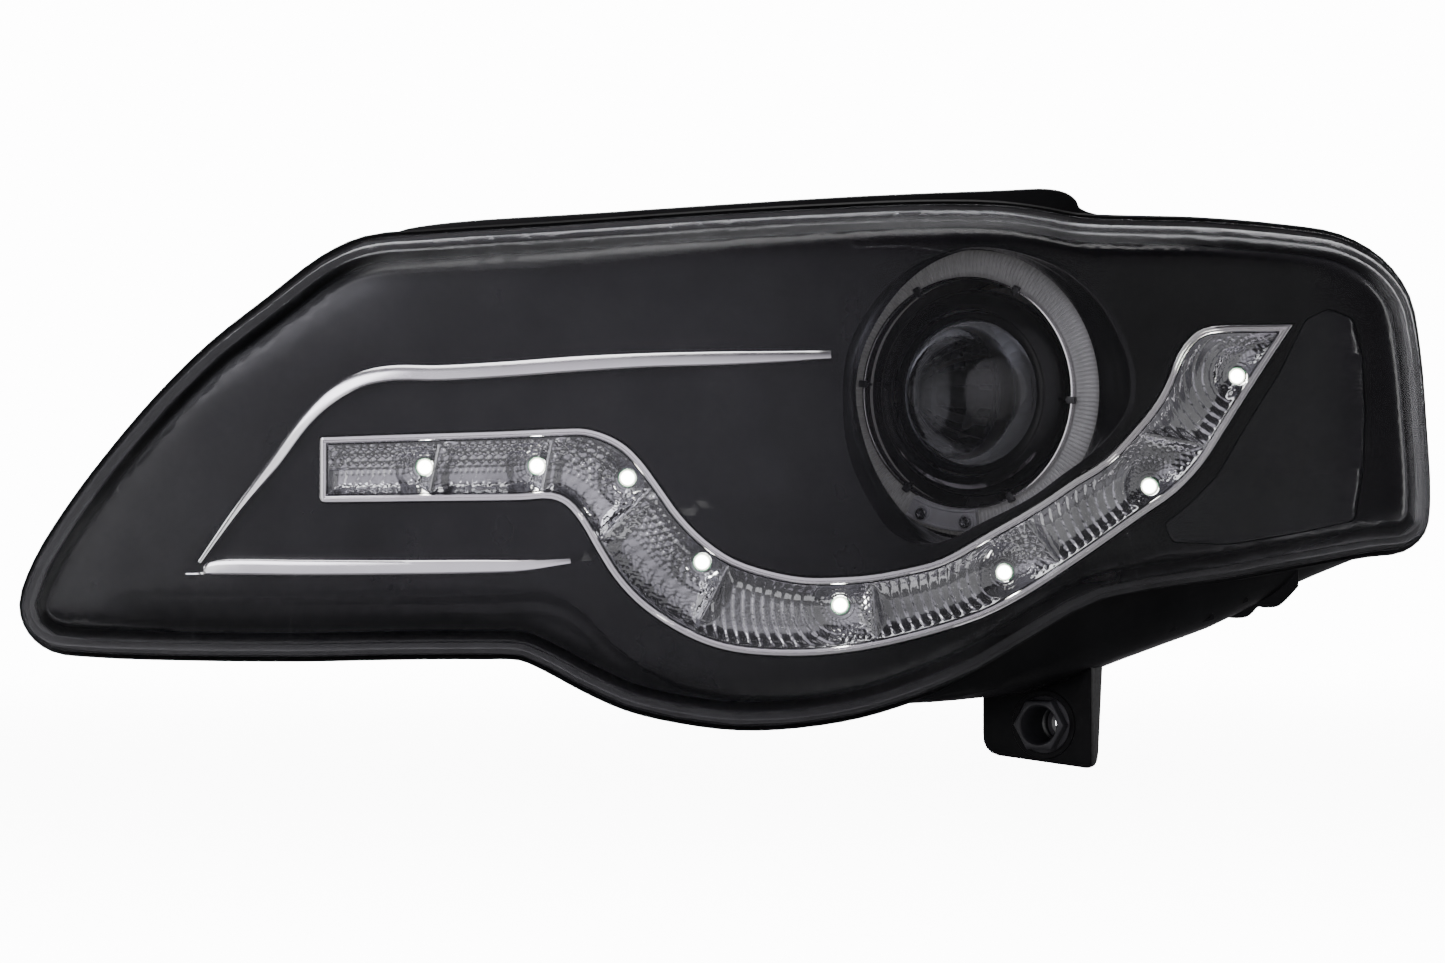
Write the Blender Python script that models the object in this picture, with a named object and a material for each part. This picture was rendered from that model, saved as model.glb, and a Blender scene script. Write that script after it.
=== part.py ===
"""Car headlight assembly: left-hand lamp with a halo ring projector and an LED daytime strip.

Car axes: -Y is the driving direction and the beam's axis, +X points outboard, +Z is up.
The lens wraps round the wing, so its pieces are laid out in a face frame turned about Z:
u runs outboard along the face, v is up and t goes into the lamp. All sizes are millimetres.
"""

import math

import bmesh
import bpy
import numpy as np
from mathutils import Matrix, Vector
from mathutils.bvhtree import BVHTree
from mathutils.geometry import delaunay_2d_cdt

MM = 0.001
FACE_YAW = math.radians(28.0)
COS, SIN = math.cos(FACE_YAW), math.sin(FACE_YAW)
ORIGIN = (-55.406, 123.737, 0.75)  # the middle of the lamp, in the layout's coordinates

# front lens
LENS_WALL = 3.0
LENS_EDGE_RADIUS = 16.0
FLANGE_DEPTH = 46.0
LENS_OUTLINE = (
    (-297, -53), (-291, -36), (-277, -14), (-260, 8), (-238, 33), (-215, 55), (-190, 74),
    (-167, 91), (-150, 98.5), (-122, 101), (-68, 104), (-9, 108), (41, 111), (83, 113),
    (116, 113), (135, 111), (150, 108.5), (175, 108), (203, 108), (244, 106), (268, 103),
    (287, 94), (299, 80), (304, 58), (307, 27), (309, -8), (307, -20), (299, -26),
    (282, -28), (249, -33), (212, -39), (181, -43), (160, -47), (146, -53), (127, -64),
    (106, -76), (80, -87), (57, -94), (32, -98), (7, -99), (-18, -96), (-39, -91),
    (-57, -83), (-72, -75), (-84, -70), (-100, -69.5), (-140, -70), (-178, -71),
    (-230, -71), (-269, -70), (-286, -68), (-294, -62),
)

# bezel and its openings
BEZEL_INSET = 7.0
BEZEL_SETBACK = 22.0
BEZEL_WALL = 2.2
CUP_OPENING = (
    (50, 34), (52, 54), (62, 74), (76, 88), (92, 96), (108, 98.5), (126, 96), (144, 89),
    (158, 77), (167, 62), (172, 46), (171, 31), (164, 20), (153, 10), (143, 3), (129, -7),
    (108, -17.5), (94, -24.5), (83, -26.5), (71, -22), (60, -7), (52, 13),
)
STRIP_TOP = (
    (-167, 19), (-126, 20), (-92, 21), (-67, 22), (-57, 22), (-48, 19.5), (-40, 15),
    (-33, 8), (-25, -3), (-17, -14), (-7, -24), (5, -32), (20, -37), (34, -39.5),
    (48, -39.5), (62, -38.5), (76, -36), (91, -32), (111, -21), (132, -9), (147, 1),
    (160, 9), (173, 22), (183, 34), (188, 43), (192, 53), (198, 61), (204, 65),
    (214, 66.5), (230, 67), (245, 67.5),
)
STRIP_BOTTOM = (
    (231, 48), (220, 32), (212, 20), (203, 7), (191, -5), (176, -15), (160, -26),
    (142, -38), (126, -48), (108, -57), (82, -65), (62, -69.5), (48, -71.5), (34, -72.5),
    (15, -72), (1, -70), (-11, -66), (-24, -59), (-36, -50), (-45, -40), (-52, -29),
    (-59, -17), (-65, -10), (-71, -7), (-84, -7), (-126, -7), (-150, -7), (-167, -6),
)
TURN_OPENING = (
    (190, -26), (215, -27), (249, -22), (274, -17), (278, 6), (279, 30), (278, 55),
    (274, 71), (262, 75), (251, 70), (238, 46), (227, 30), (218, 16), (210, 3), (198, -9),
    (186, -18),
)

# daytime strip
STRIP_RIM = 3.2
STRIP_PROUD = 3.0
CELL_DEPTH = 9.0
DIVIDERS = (
    ((-118, 15.5), (-122, -3.5)), ((-71, 17), (-75, -3.5)), ((-30, -3), (-49, -22)),
    ((2, -35), (-9, -57)), ((62, -43), (64, -65)), ((127, -17), (140, -33)),
    ((179, 20), (205, 15)),
)
LED_PLACES = (
    (-124.5, 6), (-77.3, 6.5), (-39.5, 1.5), (-8.5, -33.5), (49, -51.5), (118, -38), (180.5, -2),
    (220, 45),
)
LED_SIDE = 5.0
LED_HOLE = 7.8

# chrome strips
UPPER_STRIP = (
    (-220, -34, 1), (-203, -11, 3), (-188, 7.5, 5), (-174, 26, 5.5), (-163, 36, 6.5),
    (-151, 42.5, 7), (-138, 45, 7), (-118, 45, 7), (-89, 46.5, 7), (-61, 48.5, 7),
    (-33, 50, 6.5), (5, 51, 6), (45, 52.5, 4),
)
LOWER_STRIP = (
    (-228, -39.5, 1), (-218, -37, 6), (-175, -36.5, 7), (-140, -36, 6.5), (-103, -35.5, 6),
    (-82, -35, 5), (-63, -33, 2.5),
)
CHROME_PROUD = 4.0

# projector: its axis, then places along the car's axis
AXIS_X, AXIS_Z = 44.0, 38.0
HALO_INNER, HALO_OUTER = 49.4, 61.7
HALO_FRONT = 141.0
HALO_SCREW_RADIUS = 55.5
CUP_END = 139.5
LENS_RADIUS = 32.4
SWIVEL_Y = 195.0
LEVEL_Z = 90.0
PUSHROD_Z = -42.0
SHUTTER_Y, SHUTTER_Z = 180.0, 15.0
SOLENOID_Z = -12.0
CLIP_X, CLIP_Y = 18.0, 251.6
ADJUSTER_X = -22.0

# housing
HOUSING_WALL = 3.0
BACK_Y = 290.0
BACK_BEND_U = 228.0
CAP_RADIUS = 40.0
TURN_U, TURN_V = 247.0, 12.0
TURN_BACK = 207.2
SLEEVE_X, SLEEVE_Z = 76.0, -104.0
BRACKET_Y = 150.0
SIDE_TAB = (  # the two lobes of its lower edge
    (216, -57.5), (219, -59), (227, -59), (230, -57), (232.5, -54.5), (235, -54.8), (241, -54.2),
    (245, -51), (250, -45.5),
)
TAB_NEAR, TAB_FAR = 128.0, 134.0
HOUSING_LOOPS = (  # share of the depth, extra depth, scale along u, scale along v, belly
    (0.0, 0.0, 1.0, 1.0, 0.0),
    (0.0, 9.0, 1.0, 1.0, 0.86),
    (0.16, 6.0, 0.99, 0.99, 1.0),
    (0.45, 0.0, 0.965, 0.96, 1.0),
    (0.75, 0.0, 0.94, 0.92, 1.0),
    (0.95, 0.0, 0.915, 0.89, 1.0),
    (1.0, 0.0, 0.895, 0.86, 0.95),
)
CENTRE_U, CENTRE_V = 40.0, 18.0

LOOKS = {
    "black": ((0.012, 0.012, 0.014), 0.35, 0.0, 0.0),
    "housing": ((0.02, 0.02, 0.022), 0.55, 0.0, 0.0),
    "chrome": ((0.82, 0.82, 0.84), 0.08, 1.0, 0.0),
    "clear": ((0.95, 0.96, 0.97), 0.03, 0.0, 0.9),
    "smoke": ((0.08, 0.075, 0.08), 0.1, 0.0, 0.4),
    "frosted": ((0.85, 0.87, 0.9), 0.3, 0.0, 0.3),
    "grey": ((0.32, 0.33, 0.35), 0.45, 0.0, 0.0),
    "steel": ((0.55, 0.56, 0.58), 0.3, 1.0, 0.0),
    "alloy": ((0.45, 0.46, 0.48), 0.4, 1.0, 0.0),
    "rubber": ((0.03, 0.03, 0.03), 0.8, 0.0, 0.0),
    "led": ((0.95, 0.95, 0.75), 0.3, 0.0, 0.0),
    "board": ((0.02, 0.12, 0.06), 0.5, 0.0, 0.0),
    "white": ((0.8, 0.8, 0.78), 0.5, 0.0, 0.0),
    "amber": ((0.9, 0.4, 0.05), 0.15, 0.0, 0.5),
}


# ---------------------------------------------------------------- surfaces
def sweep(u):
    """How far the wrapping face has curved back at u."""
    part = np.asarray(u, float) / 100
    return 100 * (0.1 * part**2 + 0.011667 * part**3)


def crown(v):
    return 0.0011 * (np.asarray(v, float) + 10) ** 2


def flange(u):
    return sweep(u) + FLANGE_DEPTH


def bezel_face(u, v):
    return sweep(u) + crown(v) + BEZEL_SETBACK


def back_depth(u):
    """Depth of the housing's back: square to the beam, with a slope to each end."""
    u = np.asarray(u, float)
    plane = (BACK_Y - u * SIN) / COS
    slope = np.interp(u, (-320, -100, 0, 105), (122, 176, 203, (BACK_Y - 105 * SIN) / COS))
    return np.where(u > 105, np.maximum(plane, TURN_BACK), slope)


def belly(u):
    """How far the housing hangs below the lens."""
    return np.interp(u, (70, 106, 128, 147, 161, 182, 214, 251, 290), (0, 14, 25, 31, 32, 28, 21, 9, 0))


def face(u, v, t):
    """Face frame to the layout's car axes."""
    return (u * COS - t * SIN, u * SIN + t * COS, v)


def to_face(x, y):
    return x * COS + y * SIN, y * COS - x * SIN


# ---------------------------------------------------------------- outlines
def inset(loop, distance):
    """The closed outline moved inwards, or outwards for a negative distance."""
    pts = np.asarray(loop, float)
    ahead, behind = np.roll(pts, -1, 0) - pts, pts - np.roll(pts, 1, 0)
    ahead /= np.linalg.norm(ahead, axis=1)[:, None]
    behind /= np.linalg.norm(behind, axis=1)[:, None]
    turn = np.sign(area(pts))
    normal = np.stack([-(ahead + behind)[:, 1], (ahead + behind)[:, 0]], 1)
    normal /= np.linalg.norm(normal, axis=1)[:, None]
    along = np.stack([-ahead[:, 1], ahead[:, 0]], 1)
    stretch = np.clip((normal * along).sum(1), 0.38, 1)
    return pts + turn * distance * normal / stretch[:, None]


def area(pts):
    after = np.roll(pts, -1, 0)
    return 0.5 * (pts[:, 0] * after[:, 1] - after[:, 0] * pts[:, 1]).sum()


def inside(points, loop):
    """Which points the closed outline holds."""
    x, y = points[:, 0][:, None], points[:, 1][:, None]
    a, b = np.asarray(loop, float), np.roll(np.asarray(loop, float), -1, 0)
    spans = (a[:, 1] > y) != (b[:, 1] > y)
    rise = np.where(b[:, 1] == a[:, 1], 1e-9, b[:, 1] - a[:, 1])
    cross = a[:, 0] + (y - a[:, 1]) / rise * (b[:, 0] - a[:, 0])
    return (spans & (x < cross)).sum(1) % 2 == 1


def distance(points, lines):
    """Distance from each point to the nearest of the segments (a, b)."""
    nearest = np.full(len(points), 1e9)
    for a, b in lines:
        a, b = np.asarray(a, float), np.asarray(b, float)
        share = ((points - a) @ (b - a)) / ((b - a) @ (b - a))
        foot = a + np.clip(share, 0, 1)[:, None] * (b - a)
        nearest = np.minimum(nearest, np.linalg.norm(points - foot, axis=1))
    return nearest


def edges_of(loop):
    return [(loop[i], loop[(i + 1) % len(loop)]) for i in range(len(loop))]


def circle(x, y, radius, count, squash=1.0):
    turns = np.arange(count) * 2 * math.pi / count
    return np.stack([x + radius * squash * np.cos(turns), y + radius * np.sin(turns)], 1)


def grid(loop, step):
    """A triangular grid of points over the outline's box."""
    low, high = np.min(loop, 0), np.max(loop, 0)
    rows = np.arange(low[1], high[1], step * 0.866)
    found = [
        (u, v)
        for k, v in enumerate(rows)
        for u in np.arange(low[0] + (k % 2) * step / 2, high[0], step)
    ]
    return np.array(found)


def triangulate(loops, step, lines=(), rings=()):
    """Triangles over the first outline less the others: points, triangles, and each loop's indices."""
    loops = [np.asarray(loop, float) for loop in loops]
    borders = [edge for loop in loops for edge in edges_of(loop)]
    points, edges, spans = [], [], []
    for loop in loops:
        first = len(points)
        points += [tuple(p) for p in loop]
        edges += [(first + i, first + (i + 1) % len(loop)) for i in range(len(loop))]
        spans.append(range(first, len(points)))
    for a, b in lines:
        edges.append((len(points), len(points) + 1))
        points += [a, b]
    inner = [grid(loops[0], step)] if step else []
    inner += [np.asarray(ring, float) for ring in rings]
    if inner:
        inner = np.concatenate(inner)
        keep = inside(inner, loops[0])
        for hole in loops[1:]:
            keep &= ~inside(inner, hole)
        keep &= distance(inner, borders + list(lines)) > min(step or 9, 9) * 0.4
        points += [tuple(p) for p in inner[keep]]
    out = delaunay_2d_cdt([Vector(p) for p in points], edges, [], 0, 1e-5)
    flat = np.array([tuple(p) for p in out[0]])
    faces = np.array(out[2])
    middle = flat[faces].mean(1)
    keep = inside(middle, loops[0])
    for hole in loops[1:]:
        keep &= ~inside(middle, hole)
    faces = faces[keep]
    places = {old: new for new, olds in enumerate(out[3]) for old in olds}
    used = np.unique(faces)
    renumber = np.full(len(flat), -1)
    renumber[used] = np.arange(len(used))
    spans = [[int(renumber[places[i]]) for i in span] for span in spans]
    return flat[used], renumber[faces], spans


# ---------------------------------------------------------------- meshes
def look(name):
    """The named Principled material, made once."""
    made = bpy.data.materials.get(name)
    if made:
        return made
    made = bpy.data.materials.new(name)
    made.use_nodes = True
    colour, rough, metal, clear = LOOKS[name]
    shader = made.node_tree.nodes["Principled BSDF"]
    shader.inputs["Base Color"].default_value = (*colour, 1)
    shader.inputs["Roughness"].default_value = rough
    shader.inputs["Metallic"].default_value = metal
    shader.inputs["Transmission Weight"].default_value = clear
    made.diffuse_color = (*colour, 1)
    return made


def make(name, points, faces, material, pivot=(0, 0, 0)):
    """A closed mesh object from layout millimetres, with its origin at the pivot."""
    points = (np.asarray(points, float) - np.asarray(pivot, float)) * MM
    mesh = bpy.data.meshes.new(name)
    mesh.from_pydata([tuple(p) for p in points], [], [tuple(int(i) for i in f) for f in faces])
    shape = bmesh.new()
    shape.from_mesh(mesh)
    bmesh.ops.recalc_face_normals(shape, faces=shape.faces)
    shape.to_mesh(mesh)
    shape.free()
    made = bpy.data.objects.new(name, mesh)
    made.location = (Vector(pivot) - Vector(ORIGIN)) * MM
    mesh.materials.append(look(material))
    bpy.context.scene.collection.objects.link(made)
    return made


def bridge(first, second):
    """Quads between two index loops of the same length."""
    count = len(first)
    return [
        (first[i], first[(i + 1) % count], second[(i + 1) % count], second[i])
        for i in range(count)
    ]


def stack(loops, capped=True):
    """Points and faces through loops of equal length: capped, or joined into a ring."""
    count = len(loops[0])
    points = np.concatenate([np.asarray(loop, float) for loop in loops])
    rows = [list(range(k * count, (k + 1) * count)) for k in range(len(loops))]
    faces = [q for a, b in zip(rows[:-1], rows[1:]) for q in bridge(a, b)]
    if capped:
        faces += [tuple(reversed(rows[0])), tuple(rows[-1])]
    else:
        faces += bridge(rows[-1], rows[0])
    return points, faces


def revolve(name, profile, material, centre=(AXIS_X, AXIS_Z), count=40, along="Y", pivot=(0, 0, 0)):
    """A profile of (radius, place) turned about an axis. One that starts and ends on it is capped."""
    turns = np.arange(count) * 2 * math.pi / count
    solid = profile[0][0] == 0 and profile[-1][0] == 0
    rings = profile[1:-1] if solid else profile
    points, faces = [], []
    for radius, place in rings:
        points += [(radius * math.cos(a), radius * math.sin(a), place) for a in turns]
    rows = [list(range(k * count, (k + 1) * count)) for k in range(len(rings))]
    for a, b in zip(rows[:-1], rows[1:]):
        faces += bridge(a, b)
    if solid:
        points += [(0, 0, profile[0][1]), (0, 0, profile[-1][1])]
        for row, tip in ((rows[0], len(points) - 2), (rows[-1], len(points) - 1)):
            faces += [(row[i], row[(i + 1) % count], tip) for i in range(count)]
    else:
        faces += bridge(rows[-1], rows[0])
    place = {
        "Y": lambda p: (centre[0] + p[0], p[2], centre[1] + p[1]),
        "X": lambda p: (p[2], centre[0] + p[0], centre[1] + p[1]),
        "Z": lambda p: (centre[0] + p[0], centre[1] + p[1], p[2]),
        "T": lambda p: face(centre[0] + p[0], centre[1] + p[1], p[2]),
    }[along]
    return make(name, [place(p) for p in points], faces, material, pivot)


def block(name, low, high, material, pivot=(0, 0, 0)):
    """A box between two corners, in the car's axes."""
    corners = [(low[0], low[2]), (high[0], low[2]), (high[0], high[2]), (low[0], high[2])]
    loops = [[(x, y, z) for x, z in corners] for y in (low[1], high[1])]
    return make(name, *stack(loops), material, pivot)


def slanted_block(name, middle, size, material):
    """A box on the sloping inner back, its inner side on the back's face."""
    u, v, lift = middle
    slope = math.atan2(float(back_depth(-10) - back_depth(-90)), 80)
    along = np.array(face(math.cos(slope), 0, math.sin(slope)))
    out = np.array(face(-math.sin(slope), 0, math.cos(slope)))
    base = np.array(face(u, v, float(back_depth(u)))) + out * lift
    wide, high, deep = size
    loops = []
    for depth in (0, deep):
        loops.append([
            base + along * wide / 2 * a + np.array((0, 0, high / 2 * b)) + out * depth
            for a, b in ((-1, -1), (1, -1), (1, 1), (-1, 1))
        ])
    return make(name, *stack(loops), material)


def sheet(name, loops, front, back, material, step, lines=(), rings=()):
    """A wall over an outline with holes, between two depth functions."""
    flat, faces, _ = triangulate(loops, step, lines, rings)
    u, v = flat[:, 0], flat[:, 1]
    count = len(flat)
    points = np.concatenate([
        np.stack(face(u, v, front(u, v)), 1), np.stack(face(u, v, back(u, v)), 1)
    ])
    ways = {(int(f[k]), int(f[(k + 1) % 3])) for f in faces for k in range(3)}
    border = sorted(way for way in ways if way[::-1] not in ways)
    quads = [(a, a + count, b + count, b) for a, b in border]
    both = [tuple(f) for f in faces] + [tuple(f + count) for f in faces[:, ::-1]]
    return make(name, points, both + quads, material)


def combine(target, tool, operation):
    """Applies one exact Boolean and removes the tool."""
    step = target.modifiers.new(operation.lower(), "BOOLEAN")
    step.solver = "EXACT"
    step.operation = operation
    step.object = tool
    bpy.context.view_layer.update()
    graph = bpy.context.evaluated_depsgraph_get()
    mesh = bpy.data.meshes.new_from_object(target.evaluated_get(graph))
    target.modifiers.clear()
    target.data = mesh
    bpy.data.objects.remove(tool)
    return target


def add(target, tool):
    return combine(target, tool, "UNION")


def cut(target, tool):
    return combine(target, tool, "DIFFERENCE")


# ---------------------------------------------------------------- lens, seal and housing
def edge_roll(d):
    """How far the lens has rolled back at this distance from its edge."""
    short = np.clip(LENS_EDGE_RADIUS - d, 0, LENS_EDGE_RADIUS)
    return LENS_EDGE_RADIUS - np.sqrt(LENS_EDGE_RADIUS**2 - short**2)


def loop_at(loop, depth):
    return [face(u, v, float(depth(u, v))) for u, v in loop]


def make_lens():
    outer, inner = np.array(LENS_OUTLINE, float), inset(LENS_OUTLINE, LENS_WALL)
    border = edges_of(outer)
    points, faces, rims = [], [], []
    for loop, rings, wall in ((outer, (4, 12), 0), (inner, (3, 9), LENS_WALL)):
        rings = [inset(loop, d) for d in rings]
        lines = [edge for ring in rings for edge in edges_of(ring)]
        flat, triangles, spans = triangulate([loop], 24, lines)
        near = distance(flat, border) - wall
        depth = sweep(flat[:, 0]) + crown(flat[:, 1]) + wall + edge_roll(near)
        first = len(points)
        points += list(np.stack(face(flat[:, 0], flat[:, 1], depth), 1))
        faces += [tuple(f + first) for f in triangles]
        rims.append([i + first for i in spans[0]])
    lip = inset(LENS_OUTLINE, -3)
    between = (
        (outer, lambda u, v: flange(u) - 9),
        (lip, lambda u, v: flange(u) - 9),
        (lip, lambda u, v: flange(u) - 4.5),
        (inner, lambda u, v: flange(u) - 4.5),
    )
    last = rims[0]
    for loop, depth in between:
        row = list(range(len(points), len(points) + len(loop)))
        points += loop_at(loop, depth)
        faces += bridge(last, row)
        last = row
    faces += bridge(last, rims[1])
    return make("front_lens", points, faces, "clear")


def make_seal():
    wide, narrow = inset(LENS_OUTLINE, -2.5), inset(LENS_OUTLINE, 2)
    loops = [
        loop_at(wide, lambda u, v: flange(u) - 4.2),
        loop_at(wide, lambda u, v: flange(u) - 0.3),
        loop_at(narrow, lambda u, v: flange(u) - 0.3),
        loop_at(narrow, lambda u, v: flange(u) - 4.2),
    ]
    return make("lens_seal", *stack(loops, capped=False), "rubber")


def housing_loop(share, extra, scale_u, scale_v, hang, wall):
    """One section of the housing: (u, v, t) rows."""
    rim = inset(LENS_OUTLINE, -3)
    u = CENTRE_U + (rim[:, 0] - CENTRE_U) * scale_u
    v = CENTRE_V + (rim[:, 1] - CENTRE_V) * scale_v
    v = np.where(v < CENTRE_V, v - belly(u) * hang, v)
    moved = inset(np.stack([u, v], 1), wall)
    t = flange(rim[:, 0]) * (1 - share) + back_depth(moved[:, 0]) * share + extra
    return np.column_stack([moved, t])


def back_holes():
    """The outlines of the openings in the back. Those on the plane square to the beam look oval."""
    holes = [circle(TURN_U, TURN_V, 14.0, 24)]
    for x, z, radius, count in (
        (AXIS_X, AXIS_Z, CAP_RADIUS, 40),
        (AXIS_X, PUSHROD_Z, 6.0, 16),
        (ADJUSTER_X, AXIS_Z, 5.0, 16),
    ):
        holes.append(circle(to_face(x, BACK_Y)[0], z, radius, count, squash=COS))
    return holes


def make_housing():
    outer = [housing_loop(*row, 0) for row in HOUSING_LOOPS]
    inner = [housing_loop(*row, HOUSING_WALL) for row in HOUSING_LOOPS]
    inner[-1][:, 2] -= HOUSING_WALL
    holes = back_holes()
    points, faces, rows = [], [], []
    for section in outer + inner[::-1]:
        rows.append(list(range(len(points), len(points) + len(section))))
        points += [face(*p) for p in section]
    count = len(outer)
    for k, (a, b) in enumerate(zip(rows, rows[1:] + rows[:1])):
        if k != count - 1:
            faces += bridge(a, b)
    plates = []
    for section, row, thick in (
        (outer[-1], rows[count - 1], 0), (inner[-1], rows[count], HOUSING_WALL)
    ):
        bend = [(BACK_BEND_U, v) for v in range(-30, 100, 10)]
        flat, triangles, spans = triangulate([section[:, :2]] + holes, 40, rings=[bend])
        ids = np.zeros(len(flat), int)
        ids[spans[0]] = row
        loose = np.setdiff1d(np.arange(len(flat)), spans[0])
        ids[loose] = np.arange(len(points), len(points) + len(loose))
        for u, v in flat[loose]:
            points.append(face(u, v, float(back_depth(u)) - thick))
        faces += [tuple(ids[f]) for f in triangles]
        plates.append([[int(ids[i]) for i in span] for span in spans[1:]])
    for a, b in zip(*plates):
        faces += bridge(a, b)
    return make("housing", points, faces, "housing")


# ---------------------------------------------------------------- bezel and trims
def strip_outline():
    return np.array(STRIP_TOP + STRIP_BOTTOM, float)


def make_bezel():
    outline = inset(LENS_OUTLINE, BEZEL_INSET)
    border = edges_of(outline)

    def front(u, v):
        near = distance(np.stack([u, v], 1), border)
        rise = np.clip(1 - near / 10, 0, 1) ** 2
        return bezel_face(u, v) * (1 - rise) + (sweep(u) + FLANGE_DEPTH - 6) * rise

    holes = [np.array(CUP_OPENING, float), inset(strip_outline(), -0.6), np.array(TURN_OPENING, float)]
    rings = [inset(outline, d) for d in (4, 10)]
    return sheet(
        "bezel", [outline] + holes, front, lambda u, v: front(u, v) + BEZEL_WALL,
        "black", 26, rings=rings,
    )


def make_cup():
    """The funnel from the bezel's opening back to the halo ring."""
    loops = []
    for gap, way in ((0.5, 1), (2.5, -1)):
        rim = inset(CUP_OPENING, gap)
        front = loop_at(rim, lambda u, v: bezel_face(u, v) - 1)
        neck = loop_at(rim, lambda u, v: bezel_face(u, v) + BEZEL_WALL + 1)
        back = []
        for u, v in rim:
            x, z = u / COS - CUP_END * SIN / COS - AXIS_X, v - AXIS_Z
            far = math.hypot(x, z)
            reach = HALO_OUTER + 1.5 - gap
            back.append((AXIS_X + x * reach / far, CUP_END, AXIS_Z + z * reach / far))
        loops += [front, neck, back][::way]
    return make("projector_cup", *stack(loops, capped=False), "black")


def make_trim_strip(name, path):
    """A chrome strip that stands proud of the bezel, tapering along its path."""
    path = np.array(path, float)
    along = np.gradient(path[:, :2], axis=0)
    along /= np.linalg.norm(along, axis=1)[:, None]
    loops = []
    for (u, v, width), (du, dv) in zip(path, along):
        au, av, bu, bv = (
            u - dv * width / 2, v + du * width / 2, u + dv * width / 2, v - du * width / 2
        )
        a, b = float(bezel_face(au, av)), float(bezel_face(bu, bv))
        loops.append([
            face(au, av, a - 1.0), face(au, av, a - CHROME_PROUD + 1),
            face((au + bu) / 2, (av + bv) / 2, (a + b) / 2 - CHROME_PROUD),
            face(bu, bv, b - CHROME_PROUD + 1), face(bu, bv, b - 1.0),
        ])
    return make(name, *stack(loops), "chrome")


def make_strip_frame():
    outer, inner = strip_outline(), inset(strip_outline(), STRIP_RIM)
    loops = [
        loop_at(outer, lambda u, v: bezel_face(u, v) - STRIP_PROUD + 1),
        loop_at(outer, lambda u, v: bezel_face(u, v) + 10),
        loop_at(inner, lambda u, v: bezel_face(u, v) + 10),
        loop_at(inner, lambda u, v: bezel_face(u, v) - STRIP_PROUD),
    ]
    return make("drl_frame", *stack(loops, capped=False), "chrome")


def make_strip_reflector():
    outline = inset(strip_outline(), STRIP_RIM + 0.4)
    walls = edges_of(outline) + list(DIVIDERS)

    def front(u, v):
        near = distance(np.stack([u, v], 1), walls)
        bowl = 1 - np.clip(1 - near / 9, 0, 1) ** 2
        return bezel_face(u, v) - 1 + CELL_DEPTH * bowl

    def back(u, v):
        return bezel_face(u, v) + CELL_DEPTH + 1.4

    holes = [circle(u, v, LED_HOLE / 2, 8) for u, v in LED_PLACES]
    return sheet(
        "drl_reflector", [outline] + holes, front, back, "chrome", 9, lines=DIVIDERS
    )


def make_strip_board():
    outline = inset(strip_outline(), STRIP_RIM + 2)
    return sheet(
        "drl_board", [outline], lambda u, v: bezel_face(u, v) + CELL_DEPTH + 2.0,
        lambda u, v: bezel_face(u, v) + CELL_DEPTH + 3.6, "board", 18,
    )


def make_led(number, place):
    u, v = place
    half = LED_SIDE / 2
    corners = [(u - half, v - half), (u + half, v - half), (u + half, v + half), (u - half, v + half)]
    top = [(u + (a - u) * 0.7, v + (b - v) * 0.7) for a, b in corners]
    loops = [
        [face(a, b, float(bezel_face(a, b)) + CELL_DEPTH + lift) for a, b in ring]
        for ring, lift in ((corners, 1.6), (corners, -1.4), (top, -2.8))
    ]
    return make(f"drl_led_{number}", *stack(loops), "led")


# ---------------------------------------------------------------- turn signal
def make_turn_signal():
    outline = inset(TURN_OPENING, 0.6)
    sheet(
        "turn_lens", [outline], lambda u, v: bezel_face(u, v) - 1.5,
        lambda u, v: bezel_face(u, v) + 1.5, "smoke", 24,
    )
    rim = inset(TURN_OPENING, 1.5)
    walls = edges_of(rim)
    hole = circle(TURN_U, TURN_V, 10.5, 16)

    def bowl(u, v):
        near = distance(np.stack([u, v], 1), walls)
        depth = 42 * (1 - np.clip(1 - near / 34, 0, 1) ** 1.8)
        return bezel_face(u, v) + 2.2 + depth

    sheet(
        "turn_reflector", [rim, hole], bowl, lambda u, v: bowl(u, v) + 3.0, "chrome", 16,
        rings=[inset(rim, 6)],
    )
    centre = (TURN_U, TURN_V)
    pivot = face(TURN_U, TURN_V, TURN_BACK)
    revolve(
        "turn_bulb", [(0, 118), (5, 120), (8.5, 126), (9, 133), (6.5, 143), (6.5, 163), (0, 163)],
        "amber", centre, 20, "T", pivot,
    )
    holder = revolve(
        "turn_bulb_holder",
        [(0, 163.4), (9.5, 163.4), (9.5, 199), (13, 199), (13, TURN_BACK + 0.4),
         (17, TURN_BACK + 0.4), (17, TURN_BACK + 5), (11, TURN_BACK + 5), (11, TURN_BACK + 16),
         (0, TURN_BACK + 16)],
        "housing", centre, 24, "T", pivot,
    )
    corners = [(TURN_U + a, TURN_V + b) for a, b in ((-15, -2.5), (15, -2.5), (15, 2.5), (-15, 2.5))]
    grip = [[face(u, v, t) for u, v in corners] for t in (TURN_BACK + 4, TURN_BACK + 13)]
    add(holder, make("grip", *stack(grip), "housing", pivot))


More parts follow.
